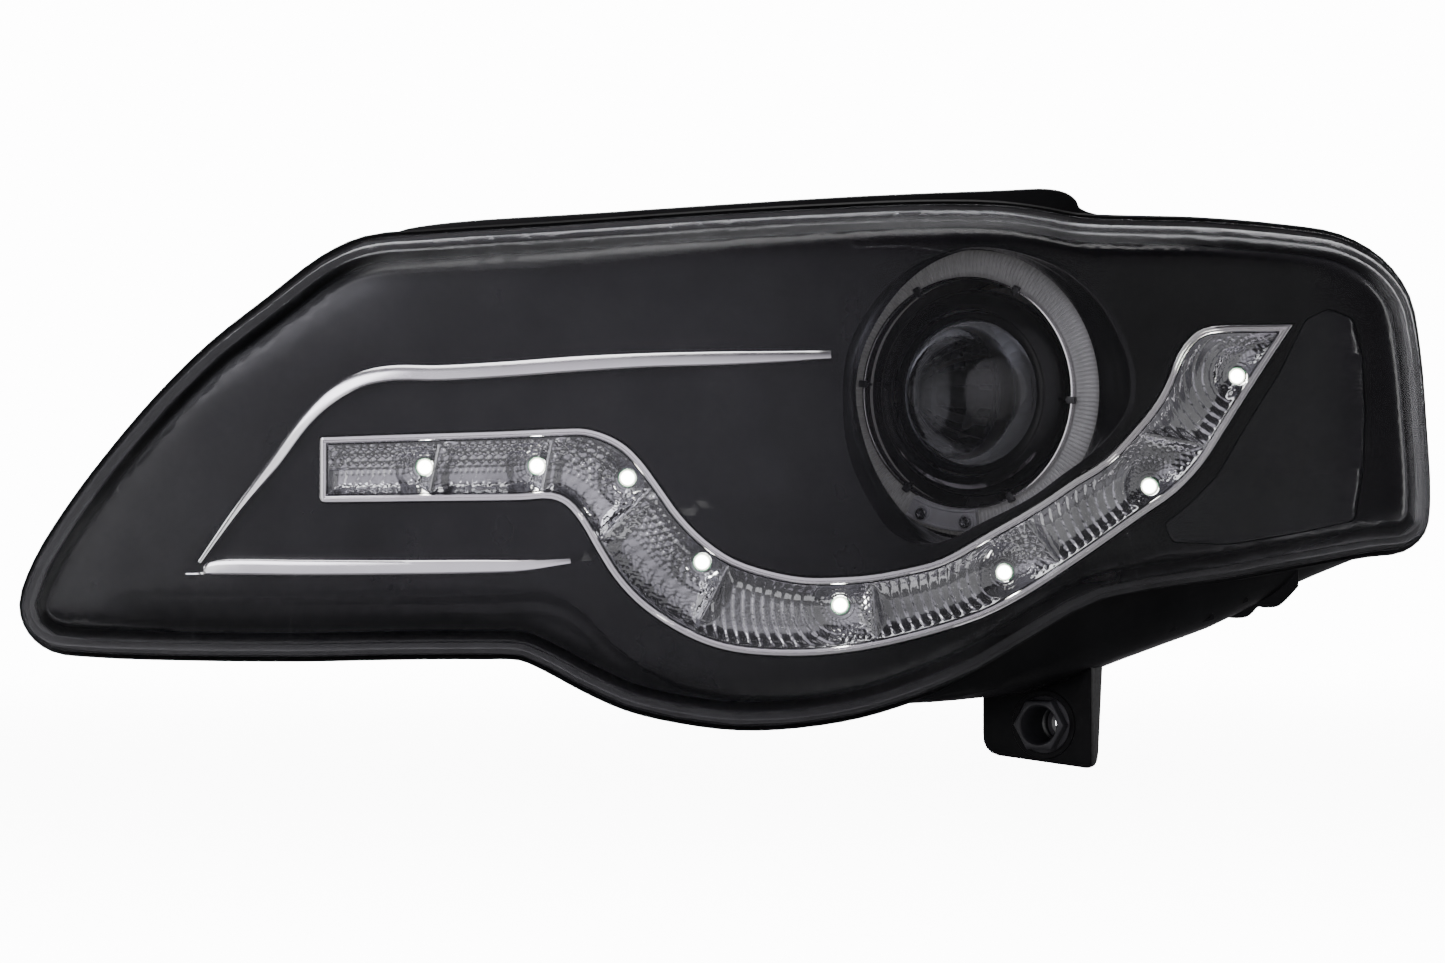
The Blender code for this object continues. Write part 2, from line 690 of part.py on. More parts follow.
# ---------------------------------------------------------------- projector unit
def make_halo():
    y = HALO_FRONT
    revolve(
        "halo_ring",
        [(HALO_INNER, y + 3), (HALO_INNER + 3, y + 0.6), (HALO_OUTER - 5, y),
         (HALO_OUTER - 1.2, y + 1.2), (HALO_OUTER, y + 4), (HALO_OUTER, y + 9),
         (HALO_INNER, y + 9)],
        "frosted", count=72,
    )
    turns = np.radians(np.linspace(-118, -84, 11))
    loops = []
    for a in turns:
        c, s = math.cos(a), math.sin(a)
        loops.append([
            (AXIS_X + r * c, y + d, AXIS_Z + r * s)
            for r, d in ((50, -3.6), (58.4, -3.6), (59.6, -2.4), (59.6, -0.5), (50, -0.5))
        ])
    make("halo_led_holder", *stack(loops), "grey")
    for number, angle in ((1, -111), (2, -89)):
        x = AXIS_X + HALO_SCREW_RADIUS * math.cos(math.radians(angle))
        z = AXIS_Z + HALO_SCREW_RADIUS * math.sin(math.radians(angle))
        revolve(
            f"halo_screw_{number}", [(0, y - 5.8), (1.8, y - 5.6), (2.6, y - 4.6), (2.6, y - 3.9), (0, y - 3.9)],
            "steel", (x, z), 12,
        )


def make_projector():
    pivot = (AXIS_X, SWIVEL_Y, AXIS_Z)
    revolve(
        "projector_lens",
        [(0, 128), (8, 128.8), (16, 131.3), (23, 135.2), (28, 140), (30.9, 145.4),
         (32.6, 146), (32.6, 149.5), (0, 149.5)],
        "clear", count=48, pivot=pivot,
    )
    revolve(
        "lens_retainer",
        [(31.5, 143.6), (35.2, 143.6), (35.2, 153), (33.2, 153), (33.2, 145.1), (31.5, 145.1)],
        "black", count=48, pivot=pivot,
    )
    revolve(
        "projector_trim",
        [(44.6, 151), (44.6, 147.5), (41, 143), (37.2, 141), (35.8, 141), (35.8, 143),
         (39.6, 145), (42.4, 149), (42.4, 151)],
        "chrome", count=48, pivot=pivot,
    )
    body = revolve(
        "projector_body",
        [(30, 149.8), (32.9, 149.8), (32.9, 153.4), (36, 153.4), (40.5, 183), (47, 184), (47, 189),
         (36.6, 189), (35.5, 183), (30, 155)],
        "alloy", count=40, pivot=pivot,
    )
    cut(body, block("slot", (38, 167, -10), (50, 183.6, 8), "alloy", pivot))
    bowl = revolve(
        "projector_reflector",
        [(47, 189.3), (47, 193.5), (42, 194), (39.5, 210), (32, 226), (19, 238), (15, 240),
         (15, 246), (11.5, 246), (11.5, 238), (28, 224), (36, 209), (38, 196), (37, 189.3)],
        "chrome", count=40, pivot=pivot,
    )
    arm = block("arm", (ADJUSTER_X - 8, 203.5, AXIS_Z - 7), (AXIS_X - 38, 208, AXIS_Z + 7), "chrome", pivot)
    eye = revolve("eye", [(0, 198), (4.6, 198), (4.6, 211), (0, 211)], "chrome", (ADJUSTER_X, AXIS_Z), 16, pivot=pivot)
    add(bowl, cut(arm, eye))
    return pivot


def make_shutter(pivot):
    hinge = (AXIS_X, SHUTTER_Y, SHUTTER_Z)
    barrel = [(1.9, AXIS_X - 18), (3.2, AXIS_X - 18), (3.2, AXIS_X + 18), (1.9, AXIS_X + 18)]
    shutter = revolve(
        "cutoff_shutter", barrel, "steel", (SHUTTER_Y, SHUTTER_Z), 20, along="X", pivot=hinge
    )
    plate = [(-19, 2.4), (19, 2.4), (23, 16), (22.5, 23), (6, 23), (2, 20.5), (-22.5, 20.5), (-23, 16)]
    loops = [[(AXIS_X + x, y, SHUTTER_Z + z) for x, z in plate] for y in (179.3, 180.7)]
    add(shutter, make("plate", *stack(loops), "steel", hinge))
    add(shutter, block("lever", (AXIS_X - 3.5, 179.2, -14), (AXIS_X + 3.5, 180.8, SHUTTER_Z - 2.4), "steel", hinge))
    revolve(
        "shutter_pin", [(0, AXIS_X - 24.8), (1.5, AXIS_X - 24.8), (1.5, AXIS_X + 24.8), (0, AXIS_X + 24.8)],
        "steel", (SHUTTER_Y, SHUTTER_Z), 14, along="X", pivot=pivot,
    )
    revolve(
        "shutter_solenoid", [(2.6, 157), (8, 157), (9, 158), (9, 166.8), (8, 167.8), (2.6, 167.8)],
        "housing", (AXIS_X, SOLENOID_Z), 24, pivot=pivot,
    )
    revolve(
        "solenoid_plunger", [(0, 166), (2.1, 166), (2.1, 178.2), (0, 178.2)],
        "steel", (AXIS_X, SOLENOID_Z), 14, pivot=(AXIS_X, 170, SOLENOID_Z),
    )


def make_bulb(pivot):
    revolve(
        "main_bulb",
        [(0, 203), (3.5, 204.5), (5, 208), (5, 230), (8.5, 234), (10.8, 237), (10.8, 246.4),
         (21, 246.4), (21, 250), (12, 250), (12, 261), (0, 261)],
        "white", count=24, pivot=pivot,
    )
    loops = []
    path = [
        (CLIP_X, -20), (CLIP_X, -13.6), (AXIS_X + 20, -13.6), (AXIS_X + 24, -9),
        (AXIS_X + 24, 9), (AXIS_X + 20, 13.6), (CLIP_X, 13.6), (CLIP_X, 20),
    ]
    path = np.array(path, float)
    ahead = np.diff(path, axis=0)
    ahead /= np.linalg.norm(ahead, axis=1)[:, None]
    mean = np.vstack([ahead[:1], ahead[:-1] + ahead[1:], ahead[-1:]])
    mean /= np.linalg.norm(mean, axis=1)[:, None]
    for (x, z), (dx, dz) in zip(path, mean):
        side = np.array((-dz, 0, dx))
        loops.append([
            np.array((x, CLIP_Y, AXIS_Z + z)) + 0.9 * (side * math.cos(a) + np.array((0, math.sin(a), 0)))
            for a in np.arange(8) * math.pi / 4
        ])
    make("bulb_clip", *stack(loops), "steel", (CLIP_X, CLIP_Y, AXIS_Z))


# ---------------------------------------------------------------- aiming
def make_aiming():
    pivot = (AXIS_X, SWIVEL_Y, LEVEL_Z)
    frame = block("aim_frame", (AXIS_X - 58, 192, AXIS_Z - 58), (AXIS_X + 58, 199, AXIS_Z + 58), "housing", pivot)
    window = revolve("window", [(0, 180), (51.5, 180), (51.5, 210), (0, 210)], "housing", count=40, pivot=pivot)
    cut(frame, window)
    foot = block("foot", (AXIS_X - 8, 190, PUSHROD_Z - 9), (AXIS_X + 8, 200.5, -18), "housing", pivot)
    add(frame, foot)
    ears = ((AXIS_X - 58, "left"), (AXIS_X + 58, "right"))
    for x, _ in ears:
        low, high = (x - 7, x + 7)
        add(frame, block("ear", (low, 189, LEVEL_Z - 9), (high, 200.5, LEVEL_Z + 9), "housing", pivot))
    for x, z in ((AXIS_X, PUSHROD_Z), (AXIS_X - 58, LEVEL_Z), (AXIS_X + 58, LEVEL_Z)):
        ball = revolve("ball", [(0, 189.4), (3.2, 190.6), (5.3, 193), (5.5, 195), (5.5, 206), (0, 206)], "housing", (x, z), 16, pivot=pivot)
        cut(frame, ball)
    for x, side in ears:
        revolve(
            f"pivot_post_{side}",
            [(0, 190), (3, 191), (4.6, 193), (5, 195), (4.6, 197), (3, 199), (3, 204), (5, 210),
             (5, 286.6), (0, 286.6)],
            "white", (x, LEVEL_Z), 16,
        )
    revolve(
        "leveling_pushrod",
        [(0, 190), (3, 191), (4.6, 193), (5, 195), (4.6, 197), (3, 199), (3, 310), (0, 310)],
        "white", (AXIS_X, PUSHROD_Z), 16, pivot=(AXIS_X, BACK_Y, PUSHROD_Z),
    )
    revolve(
        "leveling_motor",
        [(3.6, 290.4), (20, 290.4), (21, 292), (21, 318), (19, 321), (3.6, 321)],
        "housing", (AXIS_X, PUSHROD_Z), 28,
    )
    revolve(
        "vertical_adjuster",
        [(0, 321.4), (9, 321.4), (9, 326), (6, 326), (6, 331), (0, 331)],
        "white", (AXIS_X, PUSHROD_Z), 6, pivot=(AXIS_X, 326, PUSHROD_Z),
    )
    screw = revolve(
        "horizontal_adjuster",
        [(0, 196), (2.6, 196), (2.6, 290.4), (8, 290.4), (8, 296), (5.5, 296), (5.5, 301), (0, 301)],
        "white", (ADJUSTER_X, AXIS_Z), 12, pivot=(ADJUSTER_X, BACK_Y, AXIS_Z),
    )
    return screw


# ---------------------------------------------------------------- back and mounts
def make_back():
    pivot = (AXIS_X, BACK_Y, AXIS_Z)
    cap = revolve(
        "rear_cap",
        [(0, 302), (39, 302), (45, 299), (45, 292.4), (37.8, 292.4), (37.8, 284), (35.6, 284),
         (35.6, 298.5), (0, 298.5)],
        "rubber", count=40, pivot=pivot,
    )
    add(cap, block("grip", (AXIS_X - 34, 301, AXIS_Z - 4), (AXIS_X + 34, 311, AXIS_Z + 4), "rubber", pivot))
    revolve(
        "rear_cap_seal", [(40.8, 290.4), (43.6, 290.4), (43.6, 292), (40.8, 292)], "rubber", count=40
    )
    socket = block("wiring_connector", (68, 290.4, -36), (102, 308, -20), "grey")
    cut(socket, block("pocket", (71, 294, -33), (99, 320, -23), "grey"))
    revolve("breather_vent", [(0, 290.4), (8, 290.4), (8, 295), (6, 297), (0, 297)], "rubber", (-22, 78), 20)
    slanted_block("led_driver", (-60, 0, 0.8), (74, 52, 16), "alloy")
    for number, (u, v) in enumerate(((-86, 20), (-34, -20)), 1):
        slanted_block(f"driver_screw_{number}", (u, v, 17.2), (6, 6, 2.4), "steel")


def make_rail():
    top = (
        (-146, 103), (-139, 105), (-132, 107), (-112, 109.5), (-51, 113), (58, 120), (117, 123),
        (138, 124), (150, 121), (155, 118), (168, 111.8),
    )
    rim = inset(LENS_OUTLINE, -3)
    upper = rim[(rim[:, 1] > 90)]
    upper = upper[np.argsort(upper[:, 0])]
    stations = sorted({u for u, _ in top} | {float(u) for u in upper[:, 0] if -146 < u < 168})
    loops = []
    for u in stations:
        floor = float(np.interp(u, upper[:, 0], upper[:, 1])) + 0.5
        v = max(float(np.interp(u, *np.transpose(top))), floor + 0.6)
        near, far = float(flange(u)) + 3, float(flange(u)) + 24
        loops.append([face(u, floor, near), face(u, v, near), face(u, v, far), face(u, floor, far)])
    return make("upper_rail", *stack(loops), "housing")


def make_bracket(housing):
    """The hanging bracket, its upper edge following the housing's underside."""
    tree = BVHTree.FromObject(housing, bpy.context.evaluated_depsgraph_get())

    def underside(x, y):
        return tree.ray_cast(Vector((x, y, -200)) * MM, Vector((0, 0, 1)))[0].z / MM

    def roof(x, ys):
        return min(underside(x, y) for y in ys) - 0.8

    near, far = BRACKET_Y, BRACKET_Y + 5
    crest = [(x, roof(x, (near, far))) for x in np.linspace(98, 47, 15)]
    outline = [(47, -110.5), (48.5, -114.5), (53.8, -118), (96, -122.5), (98, -121)] + crest
    loops = [[(x, y, z) for x, z in outline] for y in (near, far)]
    bracket = make("lower_bracket", *stack(loops), "housing")
    wing = [(near + 1, -121), (near + 6.5, -120), (near + 8.5, -116)]
    wing += [(near + 13, roof(94, (near + 1, near + 13)) - 2.5), (near + 1, roof(94, (near + 1, near + 13)) - 2.5)]
    add(bracket, make("wing", *stack([[(x, y, z) for y, z in wing] for x in (94, 97.9)]), "housing"))
    hole = revolve("hole", [(0, 140), (12.4, 140), (12.4, 170), (0, 170)], "housing", (SLEEVE_X, SLEEVE_Z), 24)
    cut(bracket, hole)
    pivot = (SLEEVE_X, 155, SLEEVE_Z)
    sleeve = revolve(
        "adjusting_sleeve", [(0, 144), (12, 144), (12, 176.5), (0, 176.5)], "white",
        (SLEEVE_X, SLEEVE_Z), 6, pivot=pivot,
    )
    bore = [(0, 140), (8.2, 140), (8.2, 180), (0, 180)]
    cut(sleeve, revolve("bore", bore, "white", (SLEEVE_X, SLEEVE_Z), 24, pivot=pivot))
    us = np.linspace(SIDE_TAB[0][0], SIDE_TAB[-1][0], 18)
    ledge = [min(underside(*face(u, 0, t)[:2]) for t in (TAB_NEAR, TAB_FAR)) - 0.8 for u in us]
    lobes = np.minimum(np.interp(us, *np.transpose(SIDE_TAB)), np.array(ledge) - 2.5)
    outline = list(zip(us, lobes)) + list(zip(us, ledge))[::-1]
    make("side_tab", *stack([[face(u, v, t) for u, v in outline] for t in (TAB_NEAR, TAB_FAR)]), "housing")


def clear_scene():
    for item in list(bpy.data.objects):
        bpy.data.objects.remove(item)


def main():
    clear_scene()
    housing = make_housing()
    make_lens()
    make_seal()
    make_bezel()
    make_cup()
    make_trim_strip("upper_chrome_strip", UPPER_STRIP)
    make_trim_strip("lower_chrome_strip", LOWER_STRIP)
    make_strip_frame()
    make_strip_reflector()
    make_strip_board()
    for number, place in enumerate(LED_PLACES, 1):
        make_led(number, place)
    make_turn_signal()
    make_halo()
    pivot = make_projector()
    make_shutter(pivot)
    make_bulb(pivot)
    make_aiming()
    make_back()
    make_rail()
    make_bracket(housing)


main()
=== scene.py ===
"""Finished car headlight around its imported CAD: surfaces, materials, light and camera.

Everything is laid out in the CAD's millimetres. x runs outboard, y against the driving direction
and z up. The lens wraps round the wing, so its pieces use a face frame turned about z: u runs
outboard along the face, v is up and t goes into the lamp.
"""

import math

import bmesh
import bpy
import numpy as np
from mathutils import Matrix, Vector
from mathutils.geometry import delaunay_2d_cdt

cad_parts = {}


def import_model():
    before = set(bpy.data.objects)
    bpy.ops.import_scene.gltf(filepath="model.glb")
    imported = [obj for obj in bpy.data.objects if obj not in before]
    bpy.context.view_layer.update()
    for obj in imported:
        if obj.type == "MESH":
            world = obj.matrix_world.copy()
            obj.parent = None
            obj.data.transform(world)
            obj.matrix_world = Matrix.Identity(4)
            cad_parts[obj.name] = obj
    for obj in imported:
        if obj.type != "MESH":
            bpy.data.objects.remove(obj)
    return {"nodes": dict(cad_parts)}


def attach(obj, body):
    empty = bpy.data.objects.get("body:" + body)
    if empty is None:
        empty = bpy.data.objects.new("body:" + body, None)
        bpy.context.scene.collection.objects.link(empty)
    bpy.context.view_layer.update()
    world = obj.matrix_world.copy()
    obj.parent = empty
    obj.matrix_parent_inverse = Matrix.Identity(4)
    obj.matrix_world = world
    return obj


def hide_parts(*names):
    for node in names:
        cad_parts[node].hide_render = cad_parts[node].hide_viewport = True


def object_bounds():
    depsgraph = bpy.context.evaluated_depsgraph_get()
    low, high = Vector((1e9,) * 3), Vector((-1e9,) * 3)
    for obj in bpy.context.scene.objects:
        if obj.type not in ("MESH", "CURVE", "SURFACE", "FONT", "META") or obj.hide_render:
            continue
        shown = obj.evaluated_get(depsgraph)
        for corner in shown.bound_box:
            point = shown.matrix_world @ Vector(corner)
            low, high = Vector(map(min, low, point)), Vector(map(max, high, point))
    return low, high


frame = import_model()
cad_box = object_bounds()

MM = 0.001
HEX_ROW = 0.866  # the rows' spacing in a triangular grid, as a share of its step
FACE_YAW = math.radians(28.0)
COS, SIN = math.cos(FACE_YAW), math.sin(FACE_YAW)
ORIGIN = (-55.406, 123.737, 0.75)  # the middle of the lamp, in the layout's coordinates

# front lens
LENS_WALL = 3.0
LENS_EDGE_RADIUS = 16.0
FLANGE_DEPTH = 46.0
LENS_OUTLINE = (
    (-297, -53), (-291, -36), (-277, -14), (-260, 8), (-238, 33), (-215, 55), (-190, 74),
    (-167, 91), (-150, 98.5), (-122, 101), (-68, 104), (-9, 108), (41, 111), (83, 113),
    (116, 113), (135, 111), (150, 108.5), (175, 108), (203, 108), (244, 106), (268, 103),
    (287, 94), (299, 80), (304, 58), (307, 27), (309, -8), (307, -20), (299, -26),
    (282, -28), (249, -33), (212, -39), (181, -43), (160, -47), (146, -53), (127, -64),
    (106, -76), (80, -87), (57, -94), (32, -98), (7, -99), (-18, -96), (-39, -91),
    (-57, -83), (-72, -75), (-84, -70), (-100, -69.5), (-140, -70), (-178, -71),
    (-230, -71), (-269, -70), (-286, -68), (-294, -62),
)
MOULD_LINES = (  # faint raised lines inside the lens
    ((62.5, 109), (56.7, 104.5), (52.9, 99.5), (54.5, 97.2), (64.9, 97.3), (75.3, 97.6),
     (85.7, 96.4), (98.2, 93.7), (110.8, 88.4), (120, 81.9), (127.6, 75.3)),
    ((155.3, 22.3), (161.7, 5.6), (167.7, -16.1), (171.6, -31.1), (174.7, -43.3)),
    ((-218.7, -39), (-220.4, -54.6), (-222.4, -68.5)),
    ((-176.8, -33.5), (-178.9, -51.9), (-180.6, -68.5)),
)

# bezel and its openings
BEZEL_INSET = 7.0
BEZEL_SETBACK = 22.0
BEZEL_WALL = 2.2
CUP_OPENING = (
    (50, 34), (52, 54), (62, 74), (76, 88), (92, 96), (108, 98.5), (126, 96), (144, 89),
    (158, 77), (167, 62), (172, 46), (171, 31), (164, 20), (153, 10), (143, 3), (129, -7),
    (108, -17.5), (94, -24.5), (83, -26.5), (71, -22), (60, -7), (52, 13),
)
STRIP_TOP = (
    (-168.5, 18.7), (-126, 20), (-92, 21), (-67, 22), (-57, 22), (-48, 19.5), (-40, 15),
    (-33, 8), (-25, -3), (-17, -14), (-7, -24), (5, -32), (20, -37), (34, -39.5),
    (48, -39.5), (62, -38.5), (76, -36), (91, -32), (111, -21), (132, -9), (147, 1),
    (160, 9), (173, 22), (183, 34), (188, 43), (192, 53), (198, 61), (204, 65),
    (214, 66.5), (230, 67), (245, 67.5),
)
STRIP_BOTTOM = (
    (231, 48), (220, 32), (212, 20), (203, 7), (191, -5), (176, -15), (160, -26),
    (142, -38), (126, -48), (108, -57), (82, -65), (62, -69.5), (48, -71.5), (34, -72.5),
    (15, -72), (1, -70), (-11, -66), (-24, -59), (-36, -50), (-45, -40), (-52, -29),
    (-59, -17), (-65, -10), (-71, -7.4), (-84, -7.9), (-126, -8.4), (-150, -8.7), (-168.5, -8.9),
)
TURN_OPENING = (
    (190, -26), (215, -27), (249, -22), (274, -17), (278, 6), (279, 30), (278, 55),
    (274, 71), (262, 75), (251, 70), (238, 46), (227, 30), (218, 16), (210, 3), (198, -9),
    (186, -18),
)
SHELF_LINE = (  # where the bezel rolls back under the lower chrome strip
    (-290, -50), (-222, -50), (-177, -49.7), (-126, -48.6), (-93, -48.1), (-76, -47.6),
    (-67, -50), (-57, -56.7), (-47, -67.9), (-34, -77.4), (-18, -84.8), (3, -89.4),
    (32, -90.7), (60, -86), (90, -76), (130, -57), (165, -40), (190, -30), (300, -16),
)
SHELF_DROP = 9.0
SHELF_ROLL = 5.5
PANEL_DROP = 2.6

# daytime strip
STRIP_RIM = 3.2
CELL_DEPTH = 9.0
DIVIDERS = (
    ((-118, 15.5), (-122, -3.5)), ((-71, 17), (-75, -3.5)), ((-30, -3), (-49, -22)),
    ((2, -35), (-9, -57)), ((62, -43), (64, -65)), ((127, -17), (140, -33)),
    ((179, 20), (205, 15)),
)
LED_PLACES = (
    (-124.5, 6), (-77.3, 6.5), (-39.5, 1.5), (-8.5, -33.5), (49, -51.5), (118, -38), (180.5, -2),
    (220, 45),
)
LED_RADIUS = 3.9  # of the reflector's hole for a lamp
DOME_RADIUS = 3.5
SPINE_STEPS = 140

# chrome strips
UPPER_STRIP = (
    (-220, -34, 1.8), (-203, -11, 3.4), (-188, 7.5, 5), (-174, 26, 5.5), (-163, 36, 6.5),
    (-151, 42.5, 7), (-138, 45, 7), (-118, 45, 7), (-89, 46.5, 7), (-61, 48.5, 7),
    (-33, 50, 6.5), (5, 51, 6), (45, 52.5, 4),
)
LOWER_STRIP = (
    (-226, -38.9, 0.6), (-219, -38.6, 1.4), (-216, -36.8, 5.2), (-212, -36.2, 6.6), (-175, -36.2, 7),
    (-140, -36, 6.5), (-103, -35.5, 6), (-82, -35, 5), (-63, -33, 2.5),
)

# projector
AXIS_X, AXIS_Z = 44.0, 38.0
HALO_INNER, HALO_OUTER = 49.4, 61.7
HALO_FRONT = 141.0
HALO_SCREW_RADIUS = 55.5
HALO_RIBS = 190
HALO_SCREWS = (-111, -89)  # degrees round the projector's axis
HALO_PLATE = (-118, -84)
GLINT = (-150, -38)  # degrees round the projector's axis of a chrome crescent on the black trim, a painted highlight where the trim catches the light
HALO_CLIPS = (-4, 62, 118, 175, 235, 295)
CUP_END = 139.5
GLASS_FRONT, GLASS_RADIUS = 128.0, 30.9
GLASS_BULGE, GLASS_CURVE = 17.4, 33.2  # how far the middle stands out, half width of its ellipse
PUSHROD_Z = -42.0
ADJUSTER_X = -22.0

# housing
HOUSING_WALL = 3.0
BACK_Y = 290.0
BACK_BEND_U = 228.0
BACK_FLAT_U = 105.0  # outboard of this the back is square to the beam
CAP_RADIUS = 40.0
TURN_U, TURN_V = 247.0, 12.0
TURN_BACK = 207.2
TAB_FRONT, TAB_BACK = 128, 134
SIDE_TAB = (  # the two lobes of its lower edge
    (216, -57.5), (219, -59), (227, -59), (230, -57), (232.5, -54.5), (235, -54.8), (241, -54.2),
    (245, -51), (250, -45.5),
)
SLEEVE_X, SLEEVE_Z = 76.0, -104.0
SLEEVE_FRONT, SLEEVE_BACK = 144.0, 176.5
THREAD_PITCH = 1.5
PLATE_FRONT, PLATE_BACK = 150.0, 155.0  # the bracket's plate
WING_INNER, WING_OUTER = 94.0, 97.95
CREST_RISE = 5  # how far the bracket reaches up into the housing
HOUSING_LOOPS = (  # share of the depth, extra depth, scale along u, scale along v, belly
    (0.0, 0.0, 1.0, 1.0, 0.0),
    (0.0, 9.0, 1.0, 1.0, 0.86),
    (0.16, 6.0, 0.99, 0.99, 1.0),
    (0.45, 0.0, 0.965, 0.96, 1.0),
    (0.75, 0.0, 0.94, 0.92, 1.0),
    (0.95, 0.0, 0.915, 0.89, 1.0),
    (1.0, 0.0, 0.895, 0.86, 0.95),
)
CENTRE_U, CENTRE_V = 40.0, 18.0

# camera and studio
CAMERA_DISTANCE = 2200.0
SOFT_LIGHT = (-230, 210, -1000)  # where the soft light behind the camera comes from
SEEN_WHITE = 14.0  # the surround's strength to the camera
SKY = (  # share of the turn towards the soft light, its level
    (0.0, 0.2), (0.4, 0.16), (0.5, 0.03), (0.74, 0.04), (0.85, 0.12), (0.94, 0.62), (1.0, 1.02),
)
FLOOR_RINGS = (0.3, 0.7, 1.2, 1.8)  # metres
FLOOR_GAP = 0.0015  # metres under the lamp
FLOOR_FADE = (0.15, 1.4, 0.24, 0.0)  # from and to this far out in metres, from and to this alpha
FRAME_WIDTH = 592.45
SENSOR = 36.0


# ---------------------------------------------------------------- surfaces
def sweep(u):
    """How far the wrapping face has curved back at u."""
    part = np.asarray(u, float) / 100
    return 100 * (0.1 * part**2 + 0.011667 * part**3)


def crown(v):
    return 0.0011 * (np.asarray(v, float) + 10) ** 2


def flange(u):
    return sweep(u) + FLANGE_DEPTH


def bezel_face(u, v):
    return sweep(u) + crown(v) + BEZEL_SETBACK


def back_depth(u):
    """Depth of the housing's back: square to the beam, with a slope to each end."""
    u = np.asarray(u, float)
    plane = (BACK_Y - u * SIN) / COS
    slope = np.interp(u, (-320, -100, 0, BACK_FLAT_U), (122, 176, 203, (BACK_Y - BACK_FLAT_U * SIN) / COS))
    return np.where(u > BACK_FLAT_U, np.maximum(plane, TURN_BACK), slope)


def belly(u):
    """How far the housing hangs below the lens."""
    places, drops = (70, 106, 128, 147, 161, 182, 214, 251, 290), (0, 14, 25, 31, 32, 28, 21, 9, 0)
    return np.interp(u, places, drops)


def face(u, v, t):
    """Face frame to the layout's car axes."""
    return (u * COS - t * SIN, u * SIN + t * COS, v)


def to_face(x, y):
    return x * COS + y * SIN, y * COS - x * SIN


def world(point):
    """Layout millimetres to the frame's metres."""
    return (Vector([float(c) for c in point]) - Vector(ORIGIN)) * MM


def ease(share):
    share = np.clip(share, 0, 1)
    return share * share * (3 - 2 * share)


# ---------------------------------------------------------------- outlines
def area(pts):
    after = np.roll(pts, -1, 0)
    return 0.5 * (pts[:, 0] * after[:, 1] - after[:, 0] * pts[:, 1]).sum()


def unit(rows):
    return rows / np.linalg.norm(rows, axis=1)[:, None]


def angles(count):
    """Evenly spaced angles round a full turn."""
    return np.arange(count) * 2 * math.pi / count


def around(angle, radius, centre=(AXIS_X, AXIS_Z)):
    return centre[0] + radius * math.cos(angle), centre[1] + radius * math.sin(angle)


def inset(loop, distance):
    """The closed outline moved inwards, or outwards for a negative distance."""
    pts = np.asarray(loop, float)
    ahead, behind = unit(np.roll(pts, -1, 0) - pts), unit(pts - np.roll(pts, 1, 0))
    turn = np.sign(area(pts))
    normal = unit(np.stack([-(ahead + behind)[:, 1], (ahead + behind)[:, 0]], 1))
    along = np.stack([-ahead[:, 1], ahead[:, 0]], 1)
    stretch = np.clip((normal * along).sum(1), 0.38, 1)
    return pts + turn * distance * normal / stretch[:, None]


def smooth_path(points, parts=4, closed=False):
    """A centripetal Catmull-Rom curve through the points."""
    pts = np.asarray(points, float)
    if closed:
        pts = np.vstack([pts[-1:], pts, pts[:2]])
    else:
        pts = np.vstack([2 * pts[:1] - pts[1:2], pts, 2 * pts[-1:] - pts[-2:-1]])
    found = []

    def between(a, b, start, end, t):
        return ((end - t) * a + (t - start) * b) / (end - start)

    for p0, p1, p2, p3 in zip(pts, pts[1:], pts[2:], pts[3:]):
        knots = [0.0]
        for a, b in ((p0, p1), (p1, p2), (p2, p3)):
            knots.append(knots[-1] + math.sqrt(max(np.linalg.norm(b - a), 1e-6)))
        t0, t1, t2, t3 = knots
        for k in range(parts):
            t = t1 + (t2 - t1) * k / parts
            a1, a2 = between(p0, p1, t0, t1, t), between(p1, p2, t1, t2, t)
            a3 = between(p2, p3, t2, t3, t)
            b1, b2 = between(a1, a2, t0, t2, t), between(a2, a3, t1, t3, t)
            found.append(between(b1, b2, t1, t2, t))
    if not closed:
        found.append(pts[-2])
    return np.array(found)


def fillet(points, cut, steps=4, closed=True):
    """The polyline with each corner rounded from this far before it to this far after."""
    pts = np.asarray(points, float)
    found = []
    for i, corner in enumerate(pts):
        if not closed and i in (0, len(pts) - 1):
            found.append(corner)
            continue
        before, after = pts[i - 1] - corner, pts[(i + 1) % len(pts)] - corner
        long_before, long_after = np.linalg.norm(before), np.linalg.norm(after)
        reach = min(cut, 0.45 * long_before, 0.45 * long_after)
        start, end = corner + before / long_before * reach, corner + after / long_after * reach
        for s in np.linspace(0, 1, steps + 1):
            found.append((1 - s) ** 2 * start + 2 * s * (1 - s) * corner + s * s * end)
    return np.array(found)


def plate(x, y, wide, tall, cut, steps):
    """A rectangle with round corners, from its middle and its half width and height."""
    corners = [(x - wide, y - tall), (x + wide, y - tall), (x + wide, y + tall), (x - wide, y + tall)]
    return fillet(corners, cut, steps)


def inside(points, loop):
    """Which points the closed outline holds."""
    x, y = points[:, 0][:, None], points[:, 1][:, None]
    a, b = np.asarray(loop, float), np.roll(np.asarray(loop, float), -1, 0)
    spans = (a[:, 1] > y) != (b[:, 1] > y)
    rise = np.where(b[:, 1] == a[:, 1], 1e-9, b[:, 1] - a[:, 1])
    cross = a[:, 0] + (y - a[:, 1]) / rise * (b[:, 0] - a[:, 0])
    return (spans & (x < cross)).sum(1) % 2 == 1


def within(points, loops):
    """Which points lie in the first outline and in none of the others."""
    keep = inside(points, loops[0])
    for hole in loops[1:]:
        keep &= ~inside(points, hole)
    return keep


